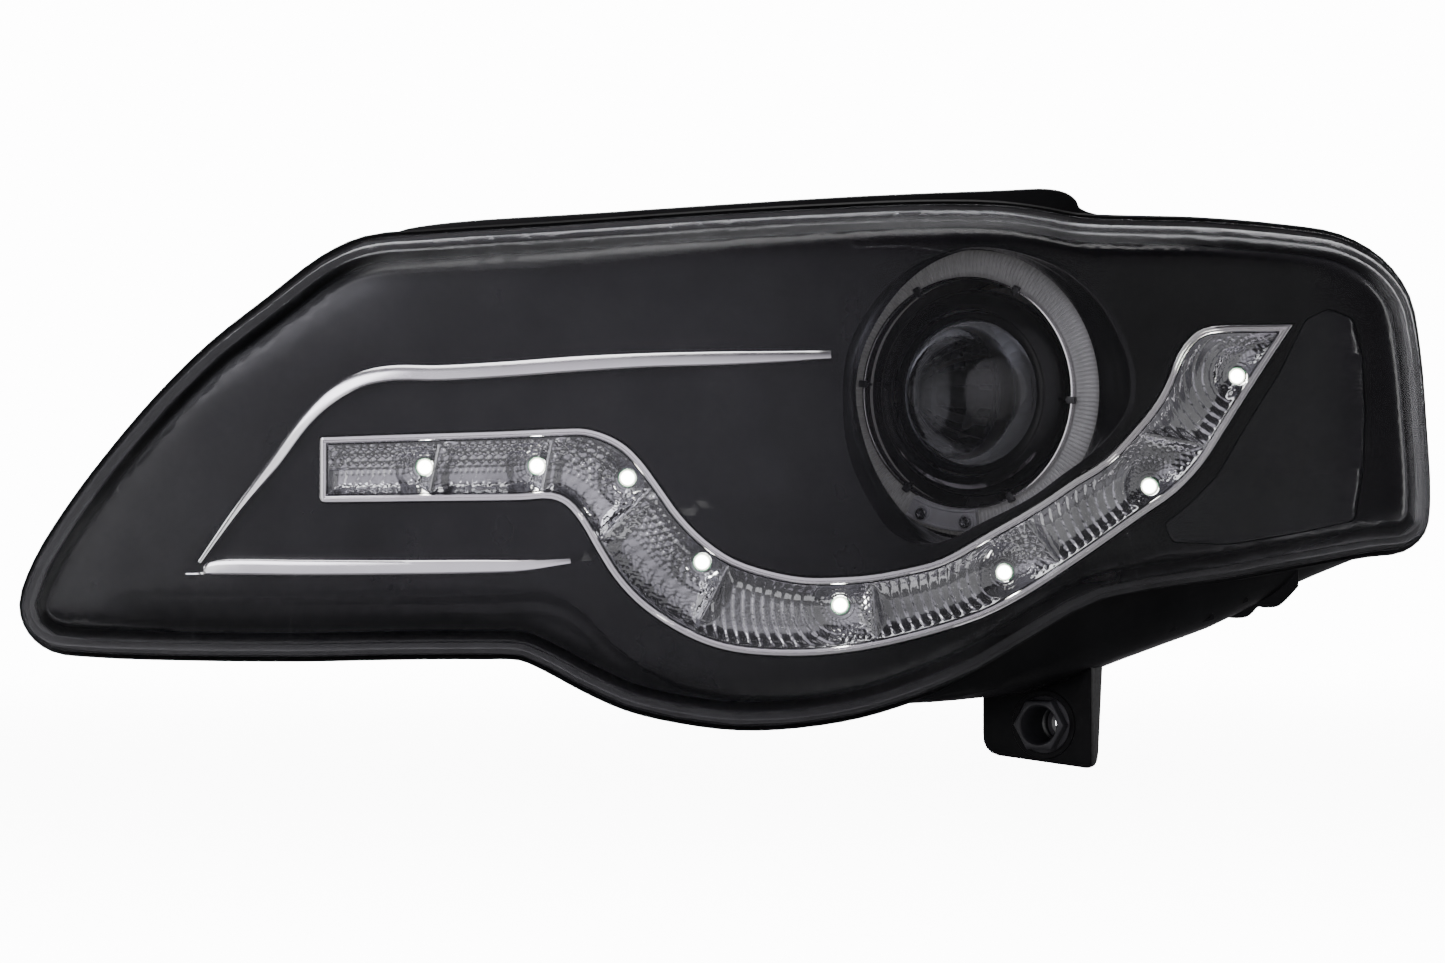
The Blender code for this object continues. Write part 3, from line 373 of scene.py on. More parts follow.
def distance(points, lines):
    """Distance from each point to the nearest of the segments (a, b)."""
    nearest = np.full(len(points), 1e9)
    for a, b in lines:
        a, b = np.asarray(a, float), np.asarray(b, float)
        share = ((points - a) @ (b - a)) / max((b - a) @ (b - a), 1e-12)
        foot = a + np.clip(share, 0, 1)[:, None] * (b - a)
        nearest = np.minimum(nearest, np.linalg.norm(points - foot, axis=1))
    return nearest


def edges_of(loop, closed=True):
    pairs = list(zip(loop[:-1], loop[1:]))
    return pairs + [(loop[-1], loop[0])] if closed else pairs


def circle(x, y, radius, count, squash=1.0):
    turns = angles(count)
    return np.stack([x + radius * squash * np.cos(turns), y + radius * np.sin(turns)], 1)


def grid(loop, step):
    """A triangular grid of points over the outline's box."""
    low, high = np.min(loop, 0), np.max(loop, 0)
    rows = [
        np.column_stack([us, np.full(len(us), v)])
        for k, v in enumerate(np.arange(low[1], high[1], step * HEX_ROW))
        for us in (np.arange(low[0] + (k % 2) * step / 2, high[0], step),)
    ]
    return np.concatenate(rows)


def rings_inside(loop, distances):
    """Rows of points at these distances inside the outline."""
    found = []
    for far in distances:
        ring = inset(loop, far)
        found.append(ring[distance(ring, edges_of(loop)) > 0.94 * far])
    return np.concatenate(found)


def triangulate(loops, step, extra=None, gap=None):
    """Triangles over the first outline less the others: points, triangles, and each loop's indices."""
    loops = [np.asarray(loop, float) for loop in loops]
    borders = [edge for loop in loops for edge in edges_of(loop)]
    gap = step * 0.4 if gap is None else gap
    inner = [grid(loops[0], step)] if step else []
    if extra is not None:
        extra = np.asarray(extra, float)
        if inner:
            cells = {tuple(c) for c in np.round(extra / (step * 0.7)).astype(int)}
            clear = [tuple(c) not in cells for c in np.round(inner[0] / (step * 0.7)).astype(int)]
            inner[0] = inner[0][np.array(clear)]
        inner.append(extra)
    points, edges, spans = [], [], []
    for loop in loops:
        first = len(points)
        points += [tuple(p) for p in loop]
        edges += [(first + i, first + (i + 1) % len(loop)) for i in range(len(loop))]
        spans.append(range(first, len(points)))
    if inner:
        inner = np.concatenate(inner)
        inner = inner[within(inner, loops)]
        inner = inner[distance(inner, borders) > gap]
        points += [tuple(p) for p in inner]
    out = delaunay_2d_cdt([Vector(p) for p in points], edges, [], 0, 1e-5)
    flat = np.array([tuple(p) for p in out[0]])
    faces = np.array(out[2])
    faces = faces[within(flat[faces].mean(1), loops)]
    places = {old: new for new, olds in enumerate(out[3]) for old in olds}
    used = np.unique(faces)
    renumber = np.full(len(flat), -1)
    renumber[used] = np.arange(len(used))
    spans = [[int(renumber[places[i]]) for i in span] for span in spans]
    return flat[used], renumber[faces], spans


def strip_outline(parts=3):
    """The daytime strip's outline: two smooth sides, two ends with small round corners."""
    top = smooth_path(STRIP_TOP, parts)
    bottom = smooth_path(STRIP_BOTTOM, parts)
    low = fillet([bottom[-2], bottom[-1], top[0]], 5.5, 5, closed=False)[1:-1]
    high = fillet([bottom[-1], top[0], top[1]], 1.6, 3, closed=False)[1:-1]
    return np.vstack([top[1:], bottom[:-1], low, high])


# ---------------------------------------------------------------- shapes
def bridge(first, second):
    """Quads between two index loops of the same length."""
    count = len(first)
    return [
        (first[i], first[(i + 1) % count], second[(i + 1) % count], second[i])
        for i in range(count)
    ]


def stack(loops, capped=True):
    """A shape through loops of equal length: capped, or joined into a ring."""
    count = len(loops[0])
    points = np.concatenate([np.asarray(loop, float) for loop in loops])
    rows = [list(range(k * count, (k + 1) * count)) for k in range(len(loops))]
    faces = [q for a, b in zip(rows[:-1], rows[1:]) for q in bridge(a, b)]
    if capped:
        faces += [tuple(reversed(rows[0])), tuple(rows[-1])]
    else:
        faces += bridge(rows[-1], rows[0])
    return points, faces


PLACES = {
    "Y": lambda centre, p: (centre[0] + p[0], p[2], centre[1] + p[1]),
    "T": lambda centre, p: face(centre[0] + p[0], centre[1] + p[1], p[2]),
}


def revolve(profile, centre=(AXIS_X, AXIS_Z), count=96, along="Y", wave=None):
    """A profile of (radius, place) turned about an axis, closed where it starts and ends on the axis.
    wave(angle, radius, place) may give each point another radius and place."""
    solid = profile[0][0] == 0 and profile[-1][0] == 0
    rings = profile[1:-1] if solid else profile
    points, faces = [], []
    for radius, place in rings:
        for a in angles(count):
            r, y = (radius, place) if wave is None else wave(a, radius, place)
            points.append((r * math.cos(a), r * math.sin(a), y))
    rows = [list(range(k * count, (k + 1) * count)) for k in range(len(rings))]
    for a, b in zip(rows[:-1], rows[1:]):
        faces += bridge(a, b)
    if solid:
        points += [(0, 0, profile[0][1]), (0, 0, profile[-1][1])]
        for row, tip in ((rows[0], len(points) - 2), (rows[-1], len(points) - 1)):
            faces += [(row[i], row[(i + 1) % count], tip) for i in range(count)]
    else:
        faces += bridge(rows[-1], rows[0])
    return [PLACES[along](centre, p) for p in points], faces


def turned(profile, cut=0.6, **how):
    """A revolved shape whose profile has round corners."""
    solid = profile[0][0] == 0 and profile[-1][0] == 0
    return revolve([tuple(p) for p in fillet(profile, cut, 3, closed=not solid)], **how)


def upright(a, b, depth):
    """Where a prism's points go when its depth runs along y."""
    return a, depth, b


def prism(outline, low, high, place, bevel=0.6, holes=()):
    """A slab over an outline with round edges and holes. place(a, b, depth) gives layout points."""
    flat, faces, spans = triangulate([inset(outline, bevel)] + list(holes), 0)
    count = len(flat)
    points = [place(a, b, low) for a, b in flat] + [place(a, b, high) for a, b in flat]
    made = [tuple(f) for f in faces[:, ::-1]] + [tuple(f + count) for f in faces]
    last = spans[0]
    for turn, end, way in (
        (30, low, 1), (60, low, 1), (90, low, 1), (90, high, -1), (120, high, -1), (150, high, -1),
    ):
        angle = math.radians(turn)
        depth = end + bevel * (way - math.cos(angle))
        ring = inset(outline, bevel * (1 - math.sin(angle)))
        row = list(range(len(points), len(points) + len(ring)))
        points += [place(a, b, depth) for a, b in ring]
        made += bridge(last, row)
        last = row
    made += bridge(last, [i + count for i in spans[0]])
    for span in spans[1:]:
        made += bridge(span, [i + count for i in span])
    return points, made


def box(low, high, bevel=0.6):
    """A block with round upright edges and bevelled ends, in the car's axes."""
    corners = [(low[0], low[2]), (high[0], low[2]), (high[0], high[2]), (low[0], high[2])]
    outline = fillet(corners, bevel * 1.5, 3)
    return prism(outline, low[1], high[1], upright, bevel)


def pegs(centre, reach, degrees, radius, sides, low, high, place, bevel):
    """Round ribs in a ring about a centre."""
    found = []
    for a in np.radians(degrees):
        found.append(prism(circle(*around(a, reach, centre), radius, sides), low, high, place, bevel))
    return found


def tube(path, radius, count=8):
    """A round rod along a path of layout points."""
    path = np.asarray(path, float)
    ahead = unit(np.gradient(path, axis=0))
    loops = []
    for point, way in zip(path, ahead):
        side = np.cross(way, (0.13, 0.21, 0.97))
        side /= np.linalg.norm(side)
        up = np.cross(side, way)
        loops.append([
            point + radius * (side * math.cos(a) + up * math.sin(a)) for a in angles(count)
        ])
    return stack(loops)


def sheet(loops, front, back, step, extra=None, gap=None):
    """A wall over an outline with holes, between two depth functions."""
    flat, faces, _ = triangulate(loops, step, extra, gap)
    u, v = flat[:, 0], flat[:, 1]
    count = len(flat)
    points = np.concatenate([
        np.stack(face(u, v, front(u, v)), 1), np.stack(face(u, v, back(u, v)), 1)
    ])
    ways = {(int(f[k]), int(f[(k + 1) % 3])) for f in faces for k in range(3)}
    border = sorted(way for way in ways if way[::-1] not in ways)
    quads = [(a, a + count, b + count, b) for a, b in border]
    both = [tuple(f) for f in faces] + [tuple(f + count) for f in faces[:, ::-1]]
    return points, both + quads


def loop_at(loop, depth):
    return [face(u, v, float(depth(u, v))) for u, v in loop]


def add(name, data):
    """A new object in the scene."""
    made = bpy.data.objects.new(name, data)
    bpy.context.scene.collection.objects.link(made)
    return made


def piece(name, shapes, slot, *stands_for, body="lamp", angle=34.0):
    """One object from shapes in layout millimetres. It rides on a body and stands for CAD nodes."""
    points, faces = [], []
    for shape_points, shape_faces in shapes:
        first = len(points)
        points += [tuple(world(p)) for p in shape_points]
        faces += [tuple(int(i) + first for i in f) for f in shape_faces]
    mesh = bpy.data.meshes.new(name)
    mesh.from_pydata(points, [], faces)
    shape = bmesh.new()
    shape.from_mesh(mesh)
    bmesh.ops.recalc_face_normals(shape, faces=shape.faces)
    shape.to_mesh(mesh)
    shape.free()
    mesh.polygons.foreach_set("use_smooth", [True] * len(mesh.polygons))
    mesh.set_sharp_from_angle(angle=math.radians(angle))
    made = add(name, mesh)
    mesh.materials.append(material(slot))
    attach(made, body)
    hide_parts(*stands_for)


# ---------------------------------------------------------------- materials
METAL = {"Metallic": 1.0}
FINISHES = {  # colour, roughness, its spread, colour spread, grain mm, bump mm, other inputs
    "housing_black": ((0.0055, 0.0055, 0.006), 0.42, 0.12, 0.35, 0.9, 0.03, {"Specular IOR Level": 0.12}),
    "bezel_black": ((0.0045, 0.0045, 0.0055), 0.2, 0.06, 0.3, 7.0, 0.006, {"Specular IOR Level": 0.22}),
    "chrome_trim": ((0.95, 0.92, 0.95), 0.17, 0.05, 0.05, 5.0, 0.004, METAL),
    "reflector_chrome": ((0.42, 0.42, 0.435), 0.06, 0.04, 0.3, 3.0, 0.003, METAL),
    "smoked_reflector": ((0.11, 0.11, 0.12), 0.22, 0.06, 0.2, 3.0, 0.004, METAL),
    "circuit_board": (
        (0.012, 0.075, 0.035), 0.42, 0.1, 0.4, 1.6, 0.02, {"Coat Weight": 0.3, "Coat Roughness": 0.05},
    ),
    "grey_plastic": ((0.55, 0.55, 0.57), 0.38, 0.08, 0.16, 0.8, 0.02, {}),
    "white_nylon": ((0.66, 0.65, 0.61), 0.44, 0.08, 0.08, 1.0, 0.02, {}),
    "dark_nylon": ((0.03, 0.03, 0.033), 0.4, 0.1, 0.25, 0.8, 0.03, {}),
    "cast_alloy": ((0.42, 0.425, 0.44), 0.42, 0.12, 0.2, 0.7, 0.05, METAL),
    "steel": ((0.52, 0.52, 0.54), 0.28, 0.1, 0.15, 0.5, 0.008, METAL),
    "rubber": ((0.02, 0.02, 0.021), 0.68, 0.12, 0.3, 0.6, 0.04, {}),
    "bulb_ceramic": ((0.7, 0.69, 0.65), 0.5, 0.1, 0.1, 0.9, 0.02, {}),
    "clear_lens": ((0.9, 0.9, 0.94), 0.24, 0.03, 0.02, 14.0, 0.002, METAL),
    "smoked_lens": ((0.012, 0.012, 0.015), 0.16, 0.06, 0.2, 2.0, 0.004, {}),
    "amber_glass": ((0.85, 0.33, 0.03), 0.12, 0.06, 0.12, 4.0, 0.004, {}),
    "projector_glass": (
        (0.93, 0.95, 0.97), 0.02, 0.02, 0.02, 9.0, 0.002, {"Transmission Weight": 1.0, "IOR": 1.52},
    ),
    # The halo ring is unlit: its faint emission is painted light that lifts the ring's shaded side.
    "halo_light_guide": (
        (0.36, 0.36, 0.37), 0.22, 0.06, 0.15, 1.2, 0.01, {"Emission Strength": 0.045, "Coat Weight": 0.6},
    ),
    "led_white": ((0.9, 0.9, 0.8), 0.35, 0.1, 0.05, 1.0, 0.01, {"Emission Strength": 48.0}),
}
CLEAR = {  # alpha seen square on, its rise at the edges, that rise's power, the haze on it
    "clear_lens": (0.0105, 0.29, 5.0, 0.004),
    "smoked_lens": (0.8, 0.2, 2.0, 0.06),
    "amber_glass": (0.7, 0.3, 2.0, 0.1),
    "halo_light_guide": (0.8, 0.2, 1.2, 0.1),
}
# Emission colours: the strip lamps' own light, and on the unlit halo ring painted light over its shaded
# side.
GLOW = {  # grain mm, and the colours that it drifts between
    "halo_light_guide": (3.0, (0.7, 0.68, 0.68), (1.0, 0.97, 0.97)),
    "led_white": (2.0, (1.0, 1.0, 0.86), (1.0, 1.0, 0.97)),
}
NOISE_SPAN = (0.3, 0.7)  # what the noise mostly holds
made_materials = {}


def feed(tree, made, inputs):
    """Set a node's inputs, or link those whose value is another node's output."""
    for name, value in inputs.items():
        if isinstance(value, bpy.types.NodeSocket):
            tree.links.new(value, made.inputs[name])
        else:
            made.inputs[name].default_value = value


def node(tree, kind, inputs=None, **settings):
    made = tree.nodes.new(kind)
    for name, value in settings.items():
        setattr(made, name, value)
    feed(tree, made, inputs or {})
    return made


def noise(tree, grain):
    """Noise in the piece's own space, with features of about grain millimetres."""
    place = node(tree, "ShaderNodeTexCoord").outputs["Object"]
    inputs = {"Vector": place, "Scale": 1000.0 / grain, "Detail": 3.0}
    return node(tree, "ShaderNodeTexNoise", inputs).outputs["Fac"]


def span(tree, source, first, last, low, high, **settings):
    """A value's range from first to last, laid over low to high."""
    ends = {"Value": source, "From Min": first, "From Max": last, "To Min": low, "To Max": high}
    return node(tree, "ShaderNodeMapRange", ends, **settings).outputs["Result"]


def ramp(tree, source, stops):
    made = node(tree, "ShaderNodeValToRGB", {"Fac": source})
    elements = made.color_ramp.elements
    while len(elements) < len(stops):
        elements.new(0.5)
    for element, (place, colour) in zip(elements, stops):
        element.position = place
        element.color = (*colour, 1)
    return made.outputs["Color"]


def tint(tree, grain, *colours):
    """A colour that drifts from one to another with the noise."""
    return ramp(tree, noise(tree, grain), list(zip(NOISE_SPAN, colours)))


def facing(tree):
    """0 where the surface is seen square on, 1 at its edges."""
    return node(tree, "ShaderNodeLayerWeight", {"Blend": 0.5}).outputs["Facing"]


def reckon(tree, operation, *values):
    return node(tree, "ShaderNodeMath", dict(enumerate(values)), operation=operation).outputs[0]


def start(name):
    made = bpy.data.materials.new(name)
    made.use_nodes = True
    return made, made.node_tree, made.node_tree.nodes["Principled BSDF"]


def surface(tree, shader, colour, rough, spread, colour_spread, grain, bump):
    """Colour that drifts, roughness that varies and a fine relief, all from noise."""
    darker = tuple(c * (1 - colour_spread) for c in colour)
    lighter = tuple(min(c * (1 + colour_spread), 0.98) for c in colour)
    fine = noise(tree, grain)
    relief = node(tree, "ShaderNodeBump", {"Strength": 0.6, "Distance": bump * MM, "Height": fine})
    feed(tree, shader, {
        "Base Color": tint(tree, 24.0, darker, lighter),
        "Roughness": span(tree, fine, *NOISE_SPAN, rough - spread / 2, rough + spread / 2),
        "Normal": relief.outputs["Normal"],
    })


def facing_alpha(tree, floor, rise, power, haze):
    """Alpha that grows towards the edges as a clear skin's reflection does, with a trace of haze."""
    steep = reckon(tree, "POWER", facing(tree), power)
    hazy = span(tree, noise(tree, 30.0), *NOISE_SPAN, floor, floor + haze)
    return reckon(tree, "MULTIPLY_ADD", steep, rise, hazy)


def narrowed(tree, glow):
    """The glow at full strength square on, fading to none towards the edges."""
    fade = span(tree, facing(tree), 0.05, 0.7, 1.0, 0.0)
    inputs = {0: glow, "Scale": reckon(tree, "POWER", fade, 3.0)}
    return node(tree, "ShaderNodeVectorMath", inputs, operation="SCALE").outputs["Vector"]


def material(slot):
    """The slot's material, made once."""
    if slot not in made_materials:
        made_materials[slot], tree, shader = start(slot)
        *look, others = FINISHES[slot]
        surface(tree, shader, *look)
        feed(tree, shader, others)
        if slot in CLEAR:
            feed(tree, shader, {"Alpha": facing_alpha(tree, *CLEAR[slot])})
        # Emission: real glow on the strip lamps, painted light on the halo ring.
        if slot in GLOW:
            glow = tint(tree, *GLOW[slot])
            feed(tree, shader, {"Emission Color": narrowed(tree, glow) if slot == "led_white" else glow})
    return made_materials[slot]


# ---------------------------------------------------------------- front lens
def edge_roll(d):
    """How far the lens has rolled back at this distance from its edge."""
    short = np.clip(LENS_EDGE_RADIUS - d, 0, LENS_EDGE_RADIUS)
    return LENS_EDGE_RADIUS - np.sqrt(LENS_EDGE_RADIUS**2 - short**2)


def lens_outline():
    return smooth_path(LENS_OUTLINE, 4, closed=True)


def make_lens():
    """The clear shell with its rolled edge and lip, and the faint mould lines inside it."""
    outer = lens_outline()
    inner = inset(outer, LENS_WALL)
    border = edges_of(outer)
    points, faces, rims = [], [], []
    for loop, wall in ((outer, 0), (inner, LENS_WALL)):
        rows = rings_inside(loop, (0.5, 1.2, 2.2, 3.5, 5.2, 7.4, 10, 13))
        flat, triangles, spans = triangulate([loop], 6.0, rows, 0.3)
        near = distance(flat, border) - wall
        near[spans[0]] = 0
        depth = sweep(flat[:, 0]) + crown(flat[:, 1]) + wall + edge_roll(near)
        first = len(points)
        points += list(np.stack(face(flat[:, 0], flat[:, 1], depth), 1))
        faces += [tuple(f + first) for f in triangles]
        rims.append([i + first for i in spans[0]])
    lip = inset(outer, -3)
    between = (
        (outer, lambda u, v: flange(u) - 20),
        (outer, lambda u, v: flange(u) - 10.5),
        (inset(outer, -0.6), lambda u, v: flange(u) - 9.3),
        (inset(outer, -2.4), lambda u, v: flange(u) - 9),
        (lip, lambda u, v: flange(u) - 8.2),
        (lip, lambda u, v: flange(u) - 4.5),
        (inner, lambda u, v: flange(u) - 4.5),
        (inner, lambda u, v: flange(u) - 18),
    )
    last = rims[0]
    for loop, depth in between:
        row = list(range(len(points), len(points) + len(loop)))
        points += loop_at(loop, depth)
        faces += bridge(last, row)
        last = row
    faces += bridge(last, rims[1])
    shapes = [(points, faces)]
    for line in MOULD_LINES:
        path = smooth_path(line, 5)
        roll = edge_roll(distance(path, border) - LENS_WALL)
        depth = sweep(path[:, 0]) + crown(path[:, 1]) + LENS_WALL + roll
        shapes.append(tube(np.stack(face(path[:, 0], path[:, 1], depth), 1), 0.32))
    piece("lens_shell", shapes, "clear_lens", "front_lens", angle=50)


# ---------------------------------------------------------------- bezel
def wing_share(u, v):
    """How much a point belongs to the sunken panel between the two chrome strips."""
    upper, lower = (smooth_path([(a, b) for a, b, _ in path], 3) for path in (UPPER_STRIP, LOWER_STRIP))
    outline = np.vstack([upper, [(60, 10), (-10, -10)], lower[::-1]])
    points = np.stack([u, v], 1)
    share = ease(distance(points, edges_of(upper, False) + edges_of(lower, False)) / 5)
    return np.where(inside(points, outline), share, 0) * ease((40 - u) / 60)


def bezel_features(u, v):
    """Depth that the bezel's shelf and sunken panel add."""
    shelf = np.interp(u, *np.transpose(SHELF_LINE))
    under = ease((shelf - v) / SHELF_ROLL + 0.5) * SHELF_DROP
    second = ease((shelf - 7 - v) / 2.5) * 2.2
    fade = ease((u + 262) / 30) * ease((230 - u) / 60)
    return (under + second) * fade + wing_share(u, v) * PANEL_DROP


def make_bezel():
    outline = inset(lens_outline(), BEZEL_INSET)
    border = edges_of(outline)

    def front(u, v):
        near = distance(np.stack([u, v], 1), border)
        rise = np.clip(1 - near / 4.5, 0, 1) ** 2
        deep = bezel_face(u, v) + bezel_features(u, v)
        return deep * (1 - rise) + (sweep(u) + FLANGE_DEPTH - 6) * rise

    holes = [
        smooth_path(CUP_OPENING, 4, closed=True), inset(strip_outline(), -0.6),
        fillet(TURN_OPENING, 2.5, 3),
    ]
    shelf = smooth_path(SHELF_LINE, 6)
    rows = [shelf - (0, lift) for lift in np.arange(-4, 13, 1.1)]
    rows.append(rings_inside(outline, (1, 2.2, 3.6, 5.2, 7.2, 9.6)))
    rows = np.concatenate(rows)
    rows = rows[np.abs(rows[:, 0]) < 290]
    shape = sheet([outline] + holes, front, lambda u, v: front(u, v) + BEZEL_WALL, 3.6, rows, 0.5)
    piece("bezel_shell", [shape], "bezel_black", "bezel")


def make_cup():
    """The stepped funnel from the bezel's opening back to the halo ring."""
    rim = smooth_path(CUP_OPENING, 4, closed=True)
    front = np.array(loop_at(inset(rim, 0.3), lambda u, v: bezel_face(u, v) - 0.2))
    centre = np.array((AXIS_X, 0, AXIS_Z))
    loops = []
    for share in np.linspace(0, 1, 34):
        ledge = 0.5 * ease((share - 0.18) / 0.03) + 0.5 * ease((share - 0.55) / 0.03)
        sink = ease(share / 0.04) * 0.03 + 0.9 * share + 0.07 * ledge
        row = []
        for point in front:
            flat = (point - centre) * (1, 0, 1)
            far = np.linalg.norm(flat)
            end = HALO_OUTER + 0.9
            bulge = 2.0 * math.sin(math.pi * share) ** 2
            radius = far + (end - far) * ease(share) + bulge
            radius = max(radius, min(far, end)) - 0.8 * ledge * (1 - share)
            place = centre + flat / far * radius
            place[1] = point[1] + (CUP_END - point[1]) * sink
            row.append(place)
        loops.append(row)
    loops += [[p + (p - centre) * (1, 0, 1) * 0.025 + (0, 0.4, 0) for p in row] for row in loops[::-1]]
    shape = stack(loops, capped=False)
    piece("projector_funnel", [shape], "bezel_black", "projector_cup", angle=50)


def make_trims():
    make_trim("upper_chrome", UPPER_STRIP, "upper_chrome_strip")
    make_trim("lower_chrome", LOWER_STRIP, "lower_chrome_strip")


def make_trim(name, path, stands_for):
    """A chrome strip with a broad lit face that leans up and a narrow one that leans down."""
    path = smooth_path(np.array(path, float), 6)
    along = unit(np.gradient(path[:, :2], axis=0))
    section = (  # share across from the upper edge, how proud
        (0.5, -1.2), (0.5, 2.2), (0.47, 2.9), (0.4, 3.3), (0.1, 3.8), (-0.2, 4.2), (-0.32, 4.25),
        (-0.42, 3.7), (-0.49, 2.4), (-0.5, 1.8), (-0.5, -1.2),
    )
    loops = []
    for (u, v, width), (du, dv) in zip(path, along):
        row = []
        lift = min(1, width / 3)
        for share, proud in section:
            a, b = u - dv * width * share, v + du * width * share
            row.append(face(a, b, float(bezel_face(a, b)) - proud * lift))
        loops.append(row)
    piece(name, [stack(loops)], "chrome_trim", stands_for, angle=28)


# ---------------------------------------------------------------- daytime strip
def make_strip_frame():
    outline = strip_outline()
    section = (  # distance in from the edge, how proud of the bezel
        (0, -9), (0, 1.8), (0.12, 2.4), (0.4, 2.75), (1.5, 2.85), (1.75, 2.5), (1.9, 2.0),
        (2.1, 2.0), (2.25, 2.3), (2.6, 2.2), (2.95, 1.6), (3.2, 0.4), (3.2, -9),
    )
    loops = [
        loop_at(inset(outline, far), lambda u, v, proud=proud: bezel_face(u, v) - proud)
        for far, proud in section
    ]
    piece("strip_rim", [stack(loops, capped=False)], "chrome_trim", "drl_frame", angle=40)


def travelled(path):
    """How far along the path each of its points is."""
    return np.concatenate([[0], np.cumsum(np.linalg.norm(np.diff(path, axis=0), axis=1))])


def strip_cells(u, v):
    """Each point's cell from 0 at the inboard end, its distance to a divider, and its place along
    the strip and across it, upwards from the middle."""
    top = smooth_path(STRIP_TOP, 3)
    bottom = smooth_path(STRIP_BOTTOM, 3)[::-1]
    shares = np.linspace(0, 1, SPINE_STEPS)

    def evenly(path):
        run = travelled(path)
        return np.column_stack([np.interp(shares * run[-1], run, path[:, k]) for k in (0, 1)])

    spine = (evenly(top) + evenly(bottom)) / 2
    points = np.stack([u, v], 1)

    def travel(where):
        return np.argmin(((where[:, None, :] - spine[None]) ** 2).sum(2), axis=1)

    place = travel(points)
    cells = np.zeros(len(points), int)
    for a, b in DIVIDERS:
        a, b = np.array(a, float), np.array(b, float)
        middle = int(travel(((a + b) / 2)[None])[0])
        ahead = spine[min(middle + 3, SPINE_STEPS - 1)] - spine[max(middle - 3, 0)]
        normal = np.array((-(b - a)[1], (b - a)[0]))
        normal *= np.sign(normal @ ahead)
        past = (points - a) @ normal > 0
        close = np.abs(place - middle) < 12
        cells += np.where(close, past, place > middle)
    way = unit(np.gradient(spine, axis=0))
    off = points - spine[place]
    along = travelled(spine)[place] + (off * way[place]).sum(1)
    across = off[:, 1] * way[place, 0] - off[:, 0] * way[place, 1]
    return cells, distance(points, DIVIDERS), along, across


def pebbles(u, v, pitch):
    """Height of round pebbles on a hexagonal lattice, 0 to 1."""
    nearest = np.full(u.shape, 1e9)
    pair = pitch * HEX_ROW * 2
    for du, dv in ((0, 0), (pitch / 2, pitch * HEX_ROW)):
        a = (u - du) - pitch * np.round((u - du) / pitch)
        b = (v - dv) - pair * np.round((v - dv) / pair)
        nearest = np.minimum(nearest, a * a + b * b)
    return np.clip(1 - nearest / (0.56 * pitch) ** 2, 0, 1)


def scales(du, dv, pitch):
    """Height of fish scales on rings about a lamp: each rises outwards, then drops at a round edge."""
    radius = np.hypot(du, dv)
    ring = np.floor(radius / pitch)
    part = radius / pitch - ring
    count = np.maximum(np.round(2 * math.pi * (ring + 0.5) / 1.15), 5)
    turn = np.arctan2(dv, du) / (2 * math.pi) * count + 0.5 * (ring % 2)
    side = 2 * (turn - np.round(turn))
    edge = 1 - 0.3 * side**2
    return np.where(part < edge, part / edge, 0) * (1 - 0.45 * side**2)


